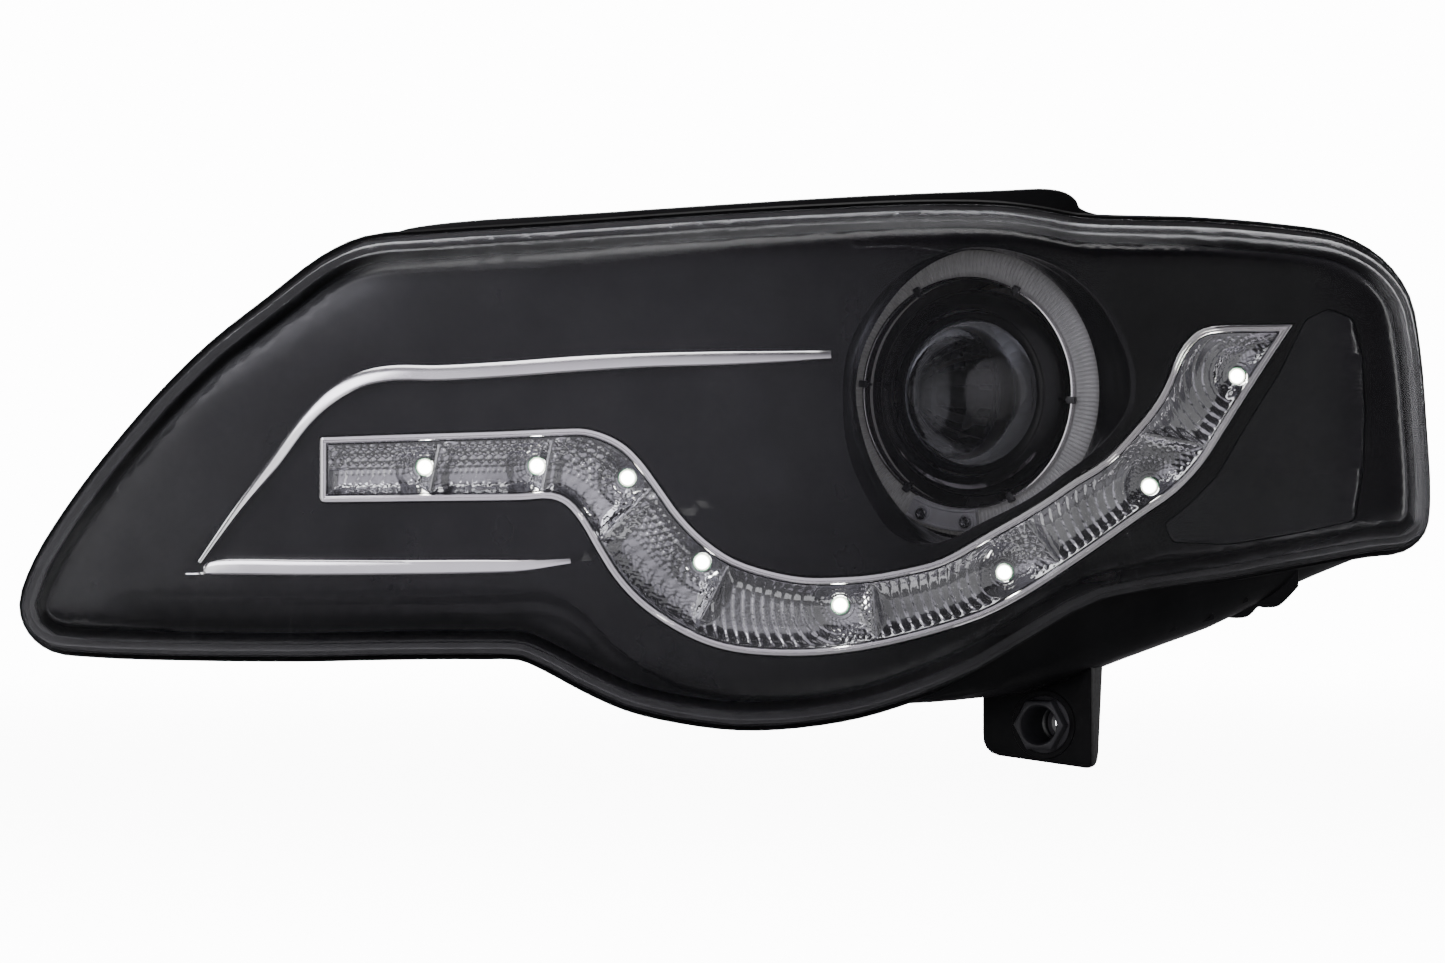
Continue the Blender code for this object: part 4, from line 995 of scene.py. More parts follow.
def make_strip_reflector():
    """The one-piece reflector: eight bowls parted by ribs, patterned by their distance from the lamps."""
    outline = inset(strip_outline(), STRIP_RIM + 0.3)
    walls = edges_of(outline)
    lamps = np.array(LED_PLACES, float)
    lamp_along = strip_cells(lamps[:, 0], lamps[:, 1])[2]

    def front(u, v):
        near = distance(np.stack([u, v], 1), walls)
        cell, gap, along, across = strip_cells(u, v)
        reach = np.where(cell < 3, np.where(across < 0, 5.0, 12.0), 9.0)
        bowl = 1 - np.clip(1 - np.minimum(near / reach, gap / 7), 0, 1) ** 2
        rib = ease(1 - gap / 0.7)
        du, dv = u - lamps[cell, 0], v - lamps[cell, 1]
        far = np.hypot(du, dv)
        past = along > lamp_along[cell]
        inboard = cell < 4
        # inboard cells: pebbles above, a row of beads, a smooth band and wrinkles below
        upper = ease((across + 1) / 2.5)
        beads = np.exp(-(((across + 1.6) / 0.8) ** 2)) * (0.5 + 0.5 * np.cos(along * 2 * math.pi / 2.3))
        lower = ease((-4.6 - across) / 2)
        wrinkles = np.sin(along * 1.9 + 2 * np.sin(across * 1.3))
        wrinkles *= np.sin(across * 2.1 + 1.5 * np.sin(along * 0.9))
        ripple = np.sin(along * 1.15 + 0.8 * np.sin(across * 0.9))
        plain = 0.95 * pebbles(along, across, 3.5) * upper + 0.5 * beads
        plain += 0.28 * wrinkles * lower + 0.09 * ripple
        arch = 1.5 * np.exp(-(((gap - 4.2) / 2.0) ** 2)) * ~past * (far > 15)
        # outboard cells: scales round the lamp, finer on its far side
        turn = np.arctan2(dv, du)
        band = np.mod(far / 4.1, 1)
        coarse = 0.85 * band * ease((1 - band) / 0.16) + 0.1 * np.cos(turn * far / 0.55)
        spots = np.cos(turn * 26) * np.cos(far * 2 * math.pi / 3.2)
        fine = 0.5 * np.clip(spots, 0, 1) + 0.12 * scales(du, dv, 2.3)
        shells = np.where(past, fine, np.where(far < 9, fine, coarse))
        detail = np.where(inboard, plain + arch, shells + 0.05 * wrinkles)
        past_lamp = far - LED_RADIUS
        rings = 0.3 * np.cos(past_lamp * 2 * math.pi / 1.7) * np.exp(-((past_lamp / 4.0) ** 2))
        flutes = np.abs(np.sin(turn * 9)) * np.exp(-(((far - 7) / 3.0) ** 2)) * 0.4 * inboard
        dish = 0.035 * np.clip(past_lamp, 0, 9) ** 2
        keep = ease(near / 2.0) * ease(past_lamp / 1.2) * ease((gap - 0.6) / 1.2)
        top = bezel_face(u, v)
        floor = top - 0.5 + (CELL_DEPTH - 1.2) * bowl - dish * bowl
        floor -= (detail * ease((far - 5) / 2.5) + rings + flutes) * keep
        return floor * (1 - rib) + (top + 0.4) * rib

    holes = [circle(u, v, LED_RADIUS, 20) for u, v in LED_PLACES]
    extra = [rings_inside(outline, (0.35, 0.7, 1.1))]
    for a, b in DIVIDERS:
        a, b = np.array(a, float), np.array(b, float)
        side = np.array((-(b - a)[1], (b - a)[0])) / np.linalg.norm(b - a)
        for off in (-0.8, -0.4, 0, 0.4, 0.8):
            extra.append(np.array([a + (b - a) * s + side * off for s in np.linspace(-0.1, 1.1, 40)]))
    shape = sheet(
        [outline] + holes, front, lambda u, v: bezel_face(u, v) + CELL_DEPTH + 1.2, 0.62,
        np.concatenate(extra), 0.2,
    )
    piece("strip_reflector", [shape], "reflector_chrome", "drl_reflector", angle=60)


def make_leds():
    """Eight lamps: a square package with a round dome."""
    for number, (u, v) in enumerate(LED_PLACES, 1):
        base = float(bezel_face(u, v)) + CELL_DEPTH
        package = prism(plate(u, v, 2.5, 2.5, 0.6, 3), base - 1.6, base + 1.4, face, 0.3)
        dome = [(0, base + 1.0), (DOME_RADIUS, base + 1.0)]
        for a in np.radians(range(0, 90, 10)):
            dome.append((DOME_RADIUS * math.cos(a), base - 1.2 - 2.6 * math.sin(a)))
        dome.append((0, base - 3.8))
        shapes = [package, revolve(dome, (u, v), 32, "T")]
        piece(f"strip_lamp_{number}", shapes, "led_white", f"drl_led_{number}")


# ---------------------------------------------------------------- turn signal
def make_turn_lens():
    """The smoked lens with fine level ribs."""
    outline = inset(fillet(TURN_OPENING, 2.5, 3), 0.5)
    low, high = outline.min(0), outline.max(0)
    pitch = 1.9
    rows = np.arange(low[1], high[1], pitch / 4)
    points = np.array([(u, v) for v in rows for u in np.arange(low[0], high[0], 6.0)])

    def front(u, v):
        near = distance(np.stack([u, v], 1), edges_of(outline))
        rib = 0.5 * (1 + np.cos(2 * math.pi * (v - low[1]) / pitch))
        return bezel_face(u, v) + 0.4 - 0.45 * rib * ease(near / 1.5)

    shape = sheet([outline], front, lambda u, v: bezel_face(u, v) + 2.4, 0, points, 0.2)
    piece("turn_signal_lens", [shape], "smoked_lens", "turn_lens", angle=70)


def make_turn_holder():
    """The turn signal's bulb holder: a stepped barrel with a grip bar and a ring of ribs."""
    centre, back = (TURN_U, TURN_V), TURN_BACK
    barrel = turned(
        [(0, 163.4), (9.5, 163.4), (9.5, 199), (13, 199), (13, back + 0.4), (17, back + 0.4),
         (17, back + 5), (11, back + 5), (11, back + 16), (0, back + 16)],
        centre=centre, along="T", count=72,
    )
    grip = prism(plate(*centre, 15, 2.5, 2, 4), back + 4, back + 13, face, 0.8)
    ribs = pegs(centre, 11, range(15, 375, 30), 1.0, 12, back + 6, back + 14.5, face, 0.3)
    piece("turn_socket_body", [barrel, grip] + ribs, "dark_nylon", "turn_bulb_holder", body="turn_socket")


# ---------------------------------------------------------------- halo ring and projector
def make_halo():
    """The ribbed light ring, the bright rim inside it and the hooks that hold it."""
    y = HALO_FRONT

    def ribs(angle, radius, place):
        """Radial ribs with narrow crests on the ring's front, none on its back or rims."""
        crest = abs(math.cos(angle * HALO_RIBS / 2)) ** 2.5
        inner, outer = (radius - HALO_INNER - 0.8) / 1.5, (HALO_OUTER + 0.4 - radius) / 1.2
        reach = min(max(inner, 0), 1) * min(max(outer, 0), 1) if place < y + 3.4 else 0
        return radius, place + (0.75 - 1.1 * crest) * reach

    section = [
        (HALO_INNER + 0.2, y + 8.8), (HALO_INNER + 0.2, y + 3), (HALO_INNER + 0.8, y + 2),
        (HALO_INNER + 1.6, y + 1.3), (HALO_INNER + 3, y + 0.8), (HALO_INNER + 5.5, y + 0.4),
        (HALO_OUTER - 4.5, y + 0.3), (HALO_OUTER - 2.6, y + 0.7), (HALO_OUTER - 1.2, y + 1.5),
        (HALO_OUTER - 0.4, y + 2.6), (HALO_OUTER - 0.1, y + 4), (HALO_OUTER - 0.1, y + 8.8),
    ]
    ring = revolve(section, count=HALO_RIBS * 5, wave=ribs)
    # The ring's faint glow is painted light over its shaded side; the ring is not lit.
    piece("halo_light_ring", [ring], "halo_light_guide", "halo_ring", angle=80)
    low, high = HALO_INNER - 0.5, HALO_INNER + 0.6
    rim = turned([(low, y + 5), (low, y - 0.9), (high, y - 0.9), (high, y + 2)], 0.3, count=144)
    piece("halo_inner_rim", [rim], "chrome_trim")
    hooks = []
    for degrees in HALO_CLIPS:
        a = math.radians(degrees)
        along = np.array((-math.sin(a), math.cos(a)))
        for wide, near, far, low, high in ((1.5, 47.6, 51.4, -1.9, 0.4), (0.6, 46.9, 48.4, -1.5, 3)):
            corners = [
                around(a, r) + along * w for r, w in ((near, -wide), (far, -wide), (far, wide), (near, wide))
            ]
            hooks.append(prism(fillet(corners, 0.4, 2), y + low, y + high, upright, 0.25))
    piece("halo_clips", hooks, "dark_nylon")


def make_halo_holder():
    """The grey plate at the ring's foot that holds its lamp, with a raised edge and a screw at each end."""
    y = HALO_FRONT
    section = (
        (50, -0.5), (50, -3.0), (50.25, -3.6), (51.1, -3.7), (51.5, -3.2), (58, -3.1), (58.5, -3.6),
        (59.2, -3.5), (59.55, -2.8), (59.6, -0.5),
    )
    turns = np.radians(np.linspace(*HALO_PLATE, 40))
    shapes = [stack([[upright(*around(a, r), y + d) for r, d in section] for a in turns])]
    collar = [(0, y - 3.0), (3.9, y - 3.0), (3.9, y - 3.9), (3.3, y - 3.9), (3.1, y - 3.35), (0, y - 3.35)]
    for degrees in HALO_SCREWS:
        centre = around(math.radians(degrees), HALO_SCREW_RADIUS)
        shapes.append(turned(collar, 0.15, centre=centre, count=40))
    piece("halo_lamp_plate", shapes, "grey_plastic", "halo_led_holder", angle=30)


def star_screw(centre, top, radius, depth):
    """A pan-head screw facing -y with a six-lobed socket."""
    def lobes(angle, r, place):
        share = 1 + 0.2 * math.cos(6 * angle) if place > top + 0.35 and r < radius * 0.55 else 1.0
        return r * share, place

    section = [
        (0, top + 1.3), (radius * 0.3, top + 1.3), (radius * 0.42, top + 0.42), (radius * 0.56, top + 0.28),
        (radius * 0.8, top + 0.35), (radius * 0.95, top + 0.7), (radius, top + 1.2), (radius, top + depth),
        (0, top + depth),
    ]
    return revolve(section, centre, 60, wave=lobes)


def make_halo_screws():
    for number, degrees in enumerate(HALO_SCREWS, 1):
        screw = star_screw(around(math.radians(degrees), HALO_SCREW_RADIUS), HALO_FRONT - 5.8, 2.6, 2.6)
        piece(f"halo_torx_{number}", [screw], "steel", f"halo_screw_{number}")


def make_projector():
    """The glass, its retainer, the trim round it and a chrome crescent on the trim, a painted highlight
    where the black trim catches the light.
    """
    def fall(radius):
        """How far the glass's ellipse has fallen away at this radius."""
        return 1 - math.sqrt(1 - (radius / GLASS_CURVE) ** 2)

    steps = GLASS_RADIUS * np.linspace(0, 1, 30)
    front = [(r, GLASS_FRONT + GLASS_BULGE * fall(r) / fall(GLASS_RADIUS)) for r in steps]
    lens = front + [(31.6, 145.9), (32.6, 146.1), (32.6, 149.2), (32.2, 149.5), (0, 149.5)]
    glass = revolve(lens, count=128)
    piece("projector_bulls_eye", [glass], "projector_glass", "projector_lens", body="projector", angle=40)
    section = [(31.5, 143.6), (35.2, 143.6), (35.2, 153), (33.2, 153), (33.2, 145.1), (31.5, 145.1)]
    retainer = turned(section, 0.4, count=128)
    piece("bulls_eye_retainer", [retainer], "bezel_black", "lens_retainer", body="projector")
    section = [
        (44.6, 151), (44.6, 147.5), (43.4, 145), (41, 143), (37.2, 141), (35.8, 141), (35.8, 143),
        (39.6, 145), (42.4, 149), (42.4, 151),
    ]
    trim = turned(section, 0.9, count=128)
    piece("projector_bright_trim", [trim], "bezel_black", "projector_trim", body="projector", angle=40)
    # A tapered chrome crescent on the black trim: a painted highlight.
    loops = []
    for a in np.radians(np.linspace(*GLINT, 60)):
        taper = math.sin((a - math.radians(GLINT[0])) / math.radians(GLINT[1] - GLINT[0]) * math.pi) ** 0.5
        outer, inner = around(a, 41.2), around(a, 41.2 - 1.8 * taper - 0.1)
        loops.append([
            upright(*flat, y) for flat, y in ((outer, 142.4), (outer, 143.3), (inner, 142.6), (inner, 141.1))
        ])
    piece("projector_trim_glint", [stack(loops)], "chrome_trim", body="projector")


# ---------------------------------------------------------------- housing
def housing_rim():
    return inset(smooth_path(LENS_OUTLINE, 3, closed=True), -3)


def housing_rows():
    return smooth_path(HOUSING_LOOPS, 4)


def housing_loop(row, wall, rim):
    """The housing's section for a row of HOUSING_LOOPS, this far inside its outer face."""
    share, extra, scale_u, scale_v, hang = row
    u = CENTRE_U + (rim[:, 0] - CENTRE_U) * scale_u
    v = CENTRE_V + (rim[:, 1] - CENTRE_V) * scale_v
    v = np.where(v < CENTRE_V, v - belly(u) * hang, v)
    moved = inset(np.stack([u, v], 1), wall)
    t = flange(rim[:, 0]) * (1 - share) + back_depth(moved[:, 0]) * share + extra
    return np.column_stack([moved, t])


def back_holes():
    """The outlines of the openings in the back. Those on the plane square to the beam look oval."""
    holes = [circle(TURN_U, TURN_V, 14.0, 48)]
    for x, z, radius, count in (
        (AXIS_X, AXIS_Z, CAP_RADIUS, 80),
        (AXIS_X, PUSHROD_Z, 6.0, 24),
        (ADJUSTER_X, AXIS_Z, 5.0, 24),
    ):
        holes.append(circle(to_face(x, BACK_Y)[0], z, radius, count, squash=COS))
    return holes


def on_back(u, v, lift):
    """A point this far outside the housing's back."""
    return face(u, v, float(back_depth(u)) + lift)


def back_ribs():
    """Upright and level stiffening ribs on the sloping part of the back."""
    ribs = []
    for u in (-216, -186, -156, -126):
        reach = np.interp(u, (-230, -110), (26, 46))
        ribs.append((u, -34 + 0.05 * u, u, -34 + 0.05 * u + reach * 1.9))
    shapes = []
    for u0, v0, u1, v1 in ribs + [(-226, -12, -112, -12), (-216, 22, -112, 22)]:
        count = 14
        loops = []
        for s in np.linspace(0, 1, count):
            u, v = u0 + (u1 - u0) * s, v0 + (v1 - v0) * s
            side = (0.9, 0) if u0 == u1 else (0, 0.9)
            tall = 4.5 * min(1, s * 8 + 0.2, (1 - s) * 8 + 0.2)
            loops.append([
                on_back(u - side[0], v - side[1], -1.0), on_back(u + side[0], v + side[1], -1.0),
                on_back(u + side[0] * 0.7, v + side[1] * 0.7, tall),
                on_back(u - side[0] * 0.7, v - side[1] * 0.7, tall),
            ])
        shapes.append(stack(loops))
    return shapes


def back_bosses():
    """Round collars about the openings and blind screw posts."""
    shapes = [
        turned(
            [(40.1, 288), (47.5, 288), (46.6, 291.2), (44.6, 291.9), (44.2, 290.2), (40.1, 290.2)],
            0.5, count=128,
        ),
        turned([(7, 288), (24, 288), (23.4, 290.2), (7, 290.2)], 0.5, centre=(AXIS_X, PUSHROD_Z), count=72),
        turned(
            [(5.4, 288), (11, 288), (10.4, 291), (9, 291.2), (5.4, 290.2)],
            0.4, centre=(ADJUSTER_X, AXIS_Z), count=48,
        ),
    ]
    for degrees in (38, 142, 218, 322):
        a = math.radians(degrees)
        centre = (AXIS_X + 53 * math.cos(a), AXIS_Z + 49 * math.sin(a))
        post = [(0, 286), (4.4, 286), (4.0, 294), (1.8, 294), (1.7, 290), (0, 290)]
        shapes.append(turned(post, 0.4, centre=centre, count=32))
    for u, v in ((-98, 44), (-240, -44), (-106, -46)):
        depth = float(back_depth(u))
        post = [(0, -3), (4.6, -3), (4.0, 7), (1.9, 7), (1.8, 3), (0, 3)]
        post = [(radius, depth + place) for radius, place in post]
        shapes.append(turned(post, 0.4, centre=(u, v), along="T", count=32))
    return shapes


def make_housing():
    """A hollow shell through the sections of HOUSING_LOOPS, with its back, collars, ribs and tabs."""
    rim = housing_rim()
    outer = [housing_loop(row, 0, rim) for row in housing_rows()]
    inner = [housing_loop(row, HOUSING_WALL, rim) for row in HOUSING_LOOPS]
    inner[-1][:, 2] -= HOUSING_WALL
    holes = back_holes()
    points, faces, rows = [], [], []
    for section in outer + inner[::-1]:
        rows.append(list(range(len(points), len(points) + len(section))))
        points += [face(*p) for p in section]
    count = len(outer)
    for k, (a, b) in enumerate(zip(rows, rows[1:] + rows[:1])):
        if k != count - 1:
            faces += bridge(a, b)
    plates = []
    for section, row, thick in ((outer[-1], rows[count - 1], 0), (inner[-1], rows[count], HOUSING_WALL)):
        columns = (BACK_BEND_U, 0, BACK_FLAT_U, -100)
        bends = np.array([(u, v) for u in columns for v in range(-90, 110, 8)], float)
        flat, triangles, spans = triangulate([section[:, :2]] + holes, 22, bends, 2.0)
        ids = np.zeros(len(flat), int)
        ids[spans[0]] = row
        loose = np.setdiff1d(np.arange(len(flat)), spans[0])
        ids[loose] = np.arange(len(points), len(points) + len(loose))
        for u, v in flat[loose]:
            points.append(face(u, v, float(back_depth(u)) - thick))
        faces += [tuple(ids[f]) for f in triangles]
        plates.append([[int(ids[i]) for i in span] for span in spans[1:]])
    for a, b in zip(*plates):
        faces += bridge(a, b)
    bead = []
    for out, deep in (
        (0.0, 1.0), (1.6, 0.4), (2.4, 1.4), (2.4, 5.0), (1.8, 6.2), (0.0, 6.6), (-1.5, 6.0), (-1.5, 1.4),
    ):
        bead.append(loop_at(inset(rim, -out), lambda u, v, deep=deep: flange(u) + deep))
    shapes = [(points, faces), stack(bead, capped=False)] + back_ribs() + back_bosses() + side_clips()
    piece("housing_shell", shapes, "housing_black", "housing", angle=38)


def side_clips():
    """Small framed tabs low on the outboard skirt, where the lens is clipped on."""
    shapes = []
    for u, v, tilt in ((189, -63, 16), (206, -58.5, 17), (221.5, -51.5, 20)):
        c, s = math.cos(math.radians(tilt)), math.sin(math.radians(tilt))

        def frame_at(wide, tall):
            corners = [(-wide, -tall), (wide, -tall), (wide, tall), (-wide, tall)]
            return fillet([(u + a * c - b * s, v + a * s + b * c) for a, b in corners], 0.9, 3)

        depth = float(flange(u)) + 7.2
        shapes.append(prism(frame_at(5.2, 2.2), depth, depth + 4, face, 0.3, holes=[frame_at(4.0, 1.1)]))
    return shapes


def make_rail():
    """The upper rail, rounded along its crest."""
    top = (
        (-146, 103), (-139, 105), (-132, 107), (-112, 109.5), (-51, 113), (58, 120), (117, 123),
        (138, 124), (146, 122.4), (150, 119.5), (152, 116), (168, 111.8),
    )
    rim = housing_rim()
    upper = rim[(rim[:, 1] > 90)]
    upper = upper[np.argsort(upper[:, 0])]
    crest = smooth_path(top, 4)
    crest = crest[np.argsort(crest[:, 0])]
    loops = []
    for u in np.unique(np.concatenate([crest[:, 0], np.linspace(-146, 168, 60)])):
        floor = float(np.interp(u, upper[:, 0], upper[:, 1])) + 0.5
        v = max(float(np.interp(u, crest[:, 0], crest[:, 1])), floor + 0.6)
        near, far = float(flange(u)) + 3, float(flange(u)) + 24
        turn = min(1.6, (v - floor) * 0.4)
        loops.append([
            face(u, floor, near), face(u, v - turn, near), face(u, v - turn * 0.3, near + turn * 0.3),
            face(u, v, near + turn), face(u, v, far - turn), face(u, v - turn * 0.3, far - turn * 0.3),
            face(u, v - turn, far), face(u, floor, far),
        ])
    piece("top_rail", [stack(loops)], "housing_black", "upper_rail")


def make_sleeve():
    """The adjusting sleeve: a hexagon with chamfered ends and a round collar, threaded inside."""
    low, high = SLEEVE_FRONT, SLEEVE_BACK
    turns = angles(60)
    loops = []
    for radius, y, round_share in (
        (10.4, low, 0.3), (11.6, low + 0.3, 0.0), (12.0, low + 1.1, 0.0), (12.0, 149.3, 0.0),
        (12.2, 149.6, 1.0), (12.2, 155.2, 1.0), (13.0, 155.4, 1.0), (13.0, 156.6, 1.0),
        (12.0, 156.9, 0.0), (12.0, high - 1.1, 0.0),
        (11.6, high - 0.3, 0.0), (10.4, high, 0.3),
    ):
        row = []
        for a in turns:
            flat = math.cos(math.radians(30)) / math.cos((a % math.radians(60)) - math.radians(30))
            r = radius * (flat + (1 - flat) * round_share)
            row.append(upright(*around(a, r, (SLEEVE_X, SLEEVE_Z)), y))
        loops.append(row)
    bore = [(8.8, low + 0.05), (8.3, low + 0.6)]
    for k in range(14):
        bore += [(8.2, low + 1.2 + k * THREAD_PITCH), (7.8, low + 1.95 + k * THREAD_PITCH)]
    bore += [(8.2, 168), (8.0, 171.5), (6.3, 172), (6.3, high - 0.5), (6.8, high - 0.05)]
    for radius, y in bore[::-1]:
        loops.append([upright(*around(a, radius, (SLEEVE_X, SLEEVE_Z)), y) for a in turns])
    shape = stack(loops, capped=False)
    piece("hex_sleeve", [shape], "dark_nylon", "adjusting_sleeve", body="sleeve", angle=30)


def make_bracket():
    """The hanging bracket: a plate with a round-cornered foot and a wing down its outboard edge."""
    foot = [(47, -108), (47.3, -112), (48.6, -114.6), (51, -116.7), (54.5, -117.9)]
    foot += [(92, -121.9), (95.5, -122.3), (97.4, -121.6), (98, -120)]
    columns = np.linspace(98, 47, 18)
    crest = housing_underside(columns, (PLATE_FRONT + PLATE_BACK) / 2) + CREST_RISE
    outline = foot + list(zip(columns, crest))
    hole = circle(SLEEVE_X, SLEEVE_Z, 12.35, 60)
    shapes = [prism(outline, PLATE_FRONT, PLATE_BACK, upright, 0.7, holes=[hole])]
    top = float(housing_underside(np.array([96.0]), 160.0)[0]) + CREST_RISE
    wing = [(151, -121.5), (155, -121.3), (157.2, -119.6), (158.6, -116), (163, top), (151, top)]
    shapes.append(prism(wing, WING_INNER, WING_OUTER, lambda a, b, d: (d, a, b), 0.6))
    rim = [(12.4, 149.4), (14.6, 149.4), (15.0, 150.2), (12.4, 150.4)]
    shapes.append(revolve(rim, (SLEEVE_X, SLEEVE_Z), 60))
    piece("hanging_bracket", shapes, "housing_black", "lower_bracket")


def housing_underside(xs, y):
    """The height of the housing's underside at these x for one y."""
    rim = housing_rim()
    heights = np.full(len(xs), 0.0)
    for row in housing_rows():
        u, v, t = housing_loop(row, 0, rim).T
        px, py = u * COS - t * SIN, u * SIN + t * COS
        below = v < CENTRE_V
        for k, x in enumerate(xs):
            near = below & (np.hypot(px - x, py - y) < 9)
            if near.any():
                heights[k] = min(heights[k], v[near].min())
    return np.array([np.median(heights[max(k - 1, 0):k + 2]) for k in range(len(xs))])


def make_side_tab():
    """The two-lobed ledge under the outboard end."""
    lower = smooth_path(SIDE_TAB, 5)
    outline = np.vstack([lower, lower[::-1] + (0, 9)])
    piece("lobed_ledge", [prism(outline, TAB_FRONT, TAB_BACK, face, 0.6)], "housing_black", "side_tab")


# ---------------------------------------------------------------- back
def make_cap():
    """The rear cap: a dished face, a grip bar, finger ribs round the rim and six short ribs across the grip
    bar.
    """
    shell = turned(
        [(0, 301.2), (30, 301.2), (33, 302), (39, 302), (45, 299), (45, 292.4), (37.8, 292.4),
         (37.8, 284), (35.6, 284), (35.6, 298.5), (0, 298.5)], 0.9, count=128,
    )
    grip = prism(plate(AXIS_X, AXIS_Z, 34, 4, 3.5, 5), 300, 311, upright, 1.2)
    shapes = [shell, grip]
    shapes += pegs((AXIS_X, AXIS_Z), 44.6, range(0, 360, 10), 1.1, 10, 292.8, 298.6, upright, 0.4)
    for off in (-10, -18, -26, 10, 18, 26):
        x = AXIS_X + off
        shapes.append(box((x - 0.8, 302, AXIS_Z - 5.2), (x + 0.8, 309, AXIS_Z + 5.2), 0.4))
    piece("bulb_cover", shapes, "rubber", "rear_cap", body="cap")


def make_motor():
    """The leveling motor: a ribbed round body, a gear dome and its own small socket."""
    centre = (AXIS_X, PUSHROD_Z)
    shapes = [turned(
        [(3.6, 290.4), (20, 290.4), (21, 292), (21, 303), (20.2, 304), (20.2, 305), (21, 306), (21, 318),
         (19, 321), (12, 321), (11.2, 320), (3.6, 320)], 0.8, centre=centre, count=96,
    )]
    shapes += pegs(centre, 20.8, range(0, 360, 15), 0.9, 10, 307.5, 316.5, upright, 0.3)
    shapes.append(box((AXIS_X - 9, 293, PUSHROD_Z - 25), (AXIS_X + 9, 312, PUSHROD_Z - 17), 0.8))
    piece("level_motor_body", shapes, "dark_nylon", "leveling_motor")


def make_knobs():
    def teeth(angle, radius, place):
        share = 1 - 0.09 * (0.5 + 0.5 * math.cos(10 * angle)) if radius > 7 else 1.0
        return radius * share, place

    profile = [(0, 321.4), (9, 321.4), (9, 326), (6, 326), (6, 331), (2, 331), (1.8, 328), (0, 328)]
    knob = turned(profile, 0.5, centre=(AXIS_X, PUSHROD_Z), count=120, wave=teeth)
    slot = box((AXIS_X - 0.7, 330.2, PUSHROD_Z - 5.4), (AXIS_X + 0.7, 331.2, PUSHROD_Z + 5.4), 0.2)
    piece("vertical_aim_knob", [knob, slot], "white_nylon", "vertical_adjuster", body="vertical_knob")
    profile = [(0, 196)]
    profile += [(2.6 if k % 2 else 2.1, 197 + 0.6 * k) for k in range(60)]
    profile += [
        (2.3, 234), (2.3, 290.4), (8, 290.4), (8, 296), (5.5, 296), (5.5, 301), (2, 301), (1.8, 298.5),
        (0, 298.5),
    ]
    screw = revolve(profile, (ADJUSTER_X, AXIS_Z), 60, wave=teeth)
    piece("horizontal_aim_screw", [screw], "white_nylon", "horizontal_adjuster", body="horizontal_screw")


def make_socket():
    """The wiring socket: a round-cornered shroud with keys and eight pins."""
    outline = plate(85, -28, 17, 8, 2.0, 4)
    pocket = plate(85, -28, 14, 5, 1.2, 4)
    shapes = [prism(outline, 294, 308, upright, 0.5, holes=[pocket])]
    shapes.append(prism(outline, 290.4, 294.4, upright, 0.5))
    for x in (76, 94):
        shapes.append(box((x - 2, 296, -20.4), (x + 2, 306, -18.6), 0.3))
    piece("socket_shroud", shapes, "dark_nylon", "wiring_connector")
    pins = []
    for x in (75, 81.6, 88.4, 95):
        for z in (-30.5, -25.5):
            pins.append(box((x - 0.9, 293, z - 0.4), (x + 0.9, 303, z + 0.4), 0.2))
    piece("socket_pins", pins, "steel")


def make_vent():
    ribs = [
        turned([(0, 290.4), (8, 290.4), (8, 295), (6, 297), (0, 297)], 0.8, centre=(-22, 78), count=64),
        turned([(3, 296.2), (5, 296.2), (5, 297.6), (3, 297.6)], 0.3, centre=(-22, 78), count=48),
    ]
    piece("vent_cap", ribs, "rubber", "breather_vent")


def slanted(u, v, lift):
    """A frame on the sloping inner part of the back: origin, along, up, out."""
    slope = math.atan2(float(back_depth(-10) - back_depth(-90)), 80)
    along = np.array(face(math.cos(slope), 0, math.sin(slope)))
    out = np.array(face(-math.sin(slope), 0, math.cos(slope)))
    base = np.array(face(u, v, float(back_depth(u)))) + out * lift
    return base, along, np.array((0, 0, 1.0)), out


def make_driver():
    """The LED driver: an alloy box with cooling fins, a flange at two corners and two screws."""
    base, along, up, out = slanted(-60, 0, 0.8)

    def place(a, b, d):
        return base + along * a + up * b + out * d

    shapes = [prism(plate(0, 0, 37, 26, 4, 5), 0, 4, place, 0.7)]
    shapes.append(prism(plate(0, 0, 31, 22, 3, 5), 3.5, 11, place, 0.8))
    for k in range(11):
        shapes.append(prism(plate(-27.5 + 5.5 * k, 0, 0.9, 20, 0.8, 3), 10, 16, place, 0.4))
    piece("driver_case", shapes, "cast_alloy", "led_driver")
    for number, (u, v) in enumerate(((-86, 20), (-34, -20)), 1):
        local = slanted(u, v, 0)[0] - base
        a, b = float(local @ along), float(local @ up)
        head, washer = circle(a, b, 3.1, 36), circle(a, b, 4.6, 36)
        shapes = [prism(head, 16.2, 19.0, place, 0.7), prism(washer, 15.8, 16.6, place, 0.3)]
        piece(f"driver_bolt_{number}", shapes, "steel", f"driver_screw_{number}")


# ---------------------------------------------------------------- carried-over CAD nodes
CARRIED = {
    "rubber": ("lens_seal", "rear_cap_seal"),
    "circuit_board": ("drl_board",),
    "smoked_reflector": ("turn_reflector",),
    "amber_glass": ("turn_bulb",),
    "cast_alloy": ("projector_body",),
    "reflector_chrome": ("projector_reflector",),
    "steel": ("cutoff_shutter", "shutter_pin", "solenoid_plunger", "bulb_clip"),
    "dark_nylon": ("shutter_solenoid", "aim_frame"),
    "bulb_ceramic": ("main_bulb",),
    "white_nylon": ("pivot_post_left", "pivot_post_right", "leveling_pushrod"),
}
BEVELLED = {
    "aim_frame": 0.8, "projector_body": 0.4, "cutoff_shutter": 0.2,
    "turn_reflector": 0.3, "shutter_solenoid": 0.3, "main_bulb": 0.3,
}


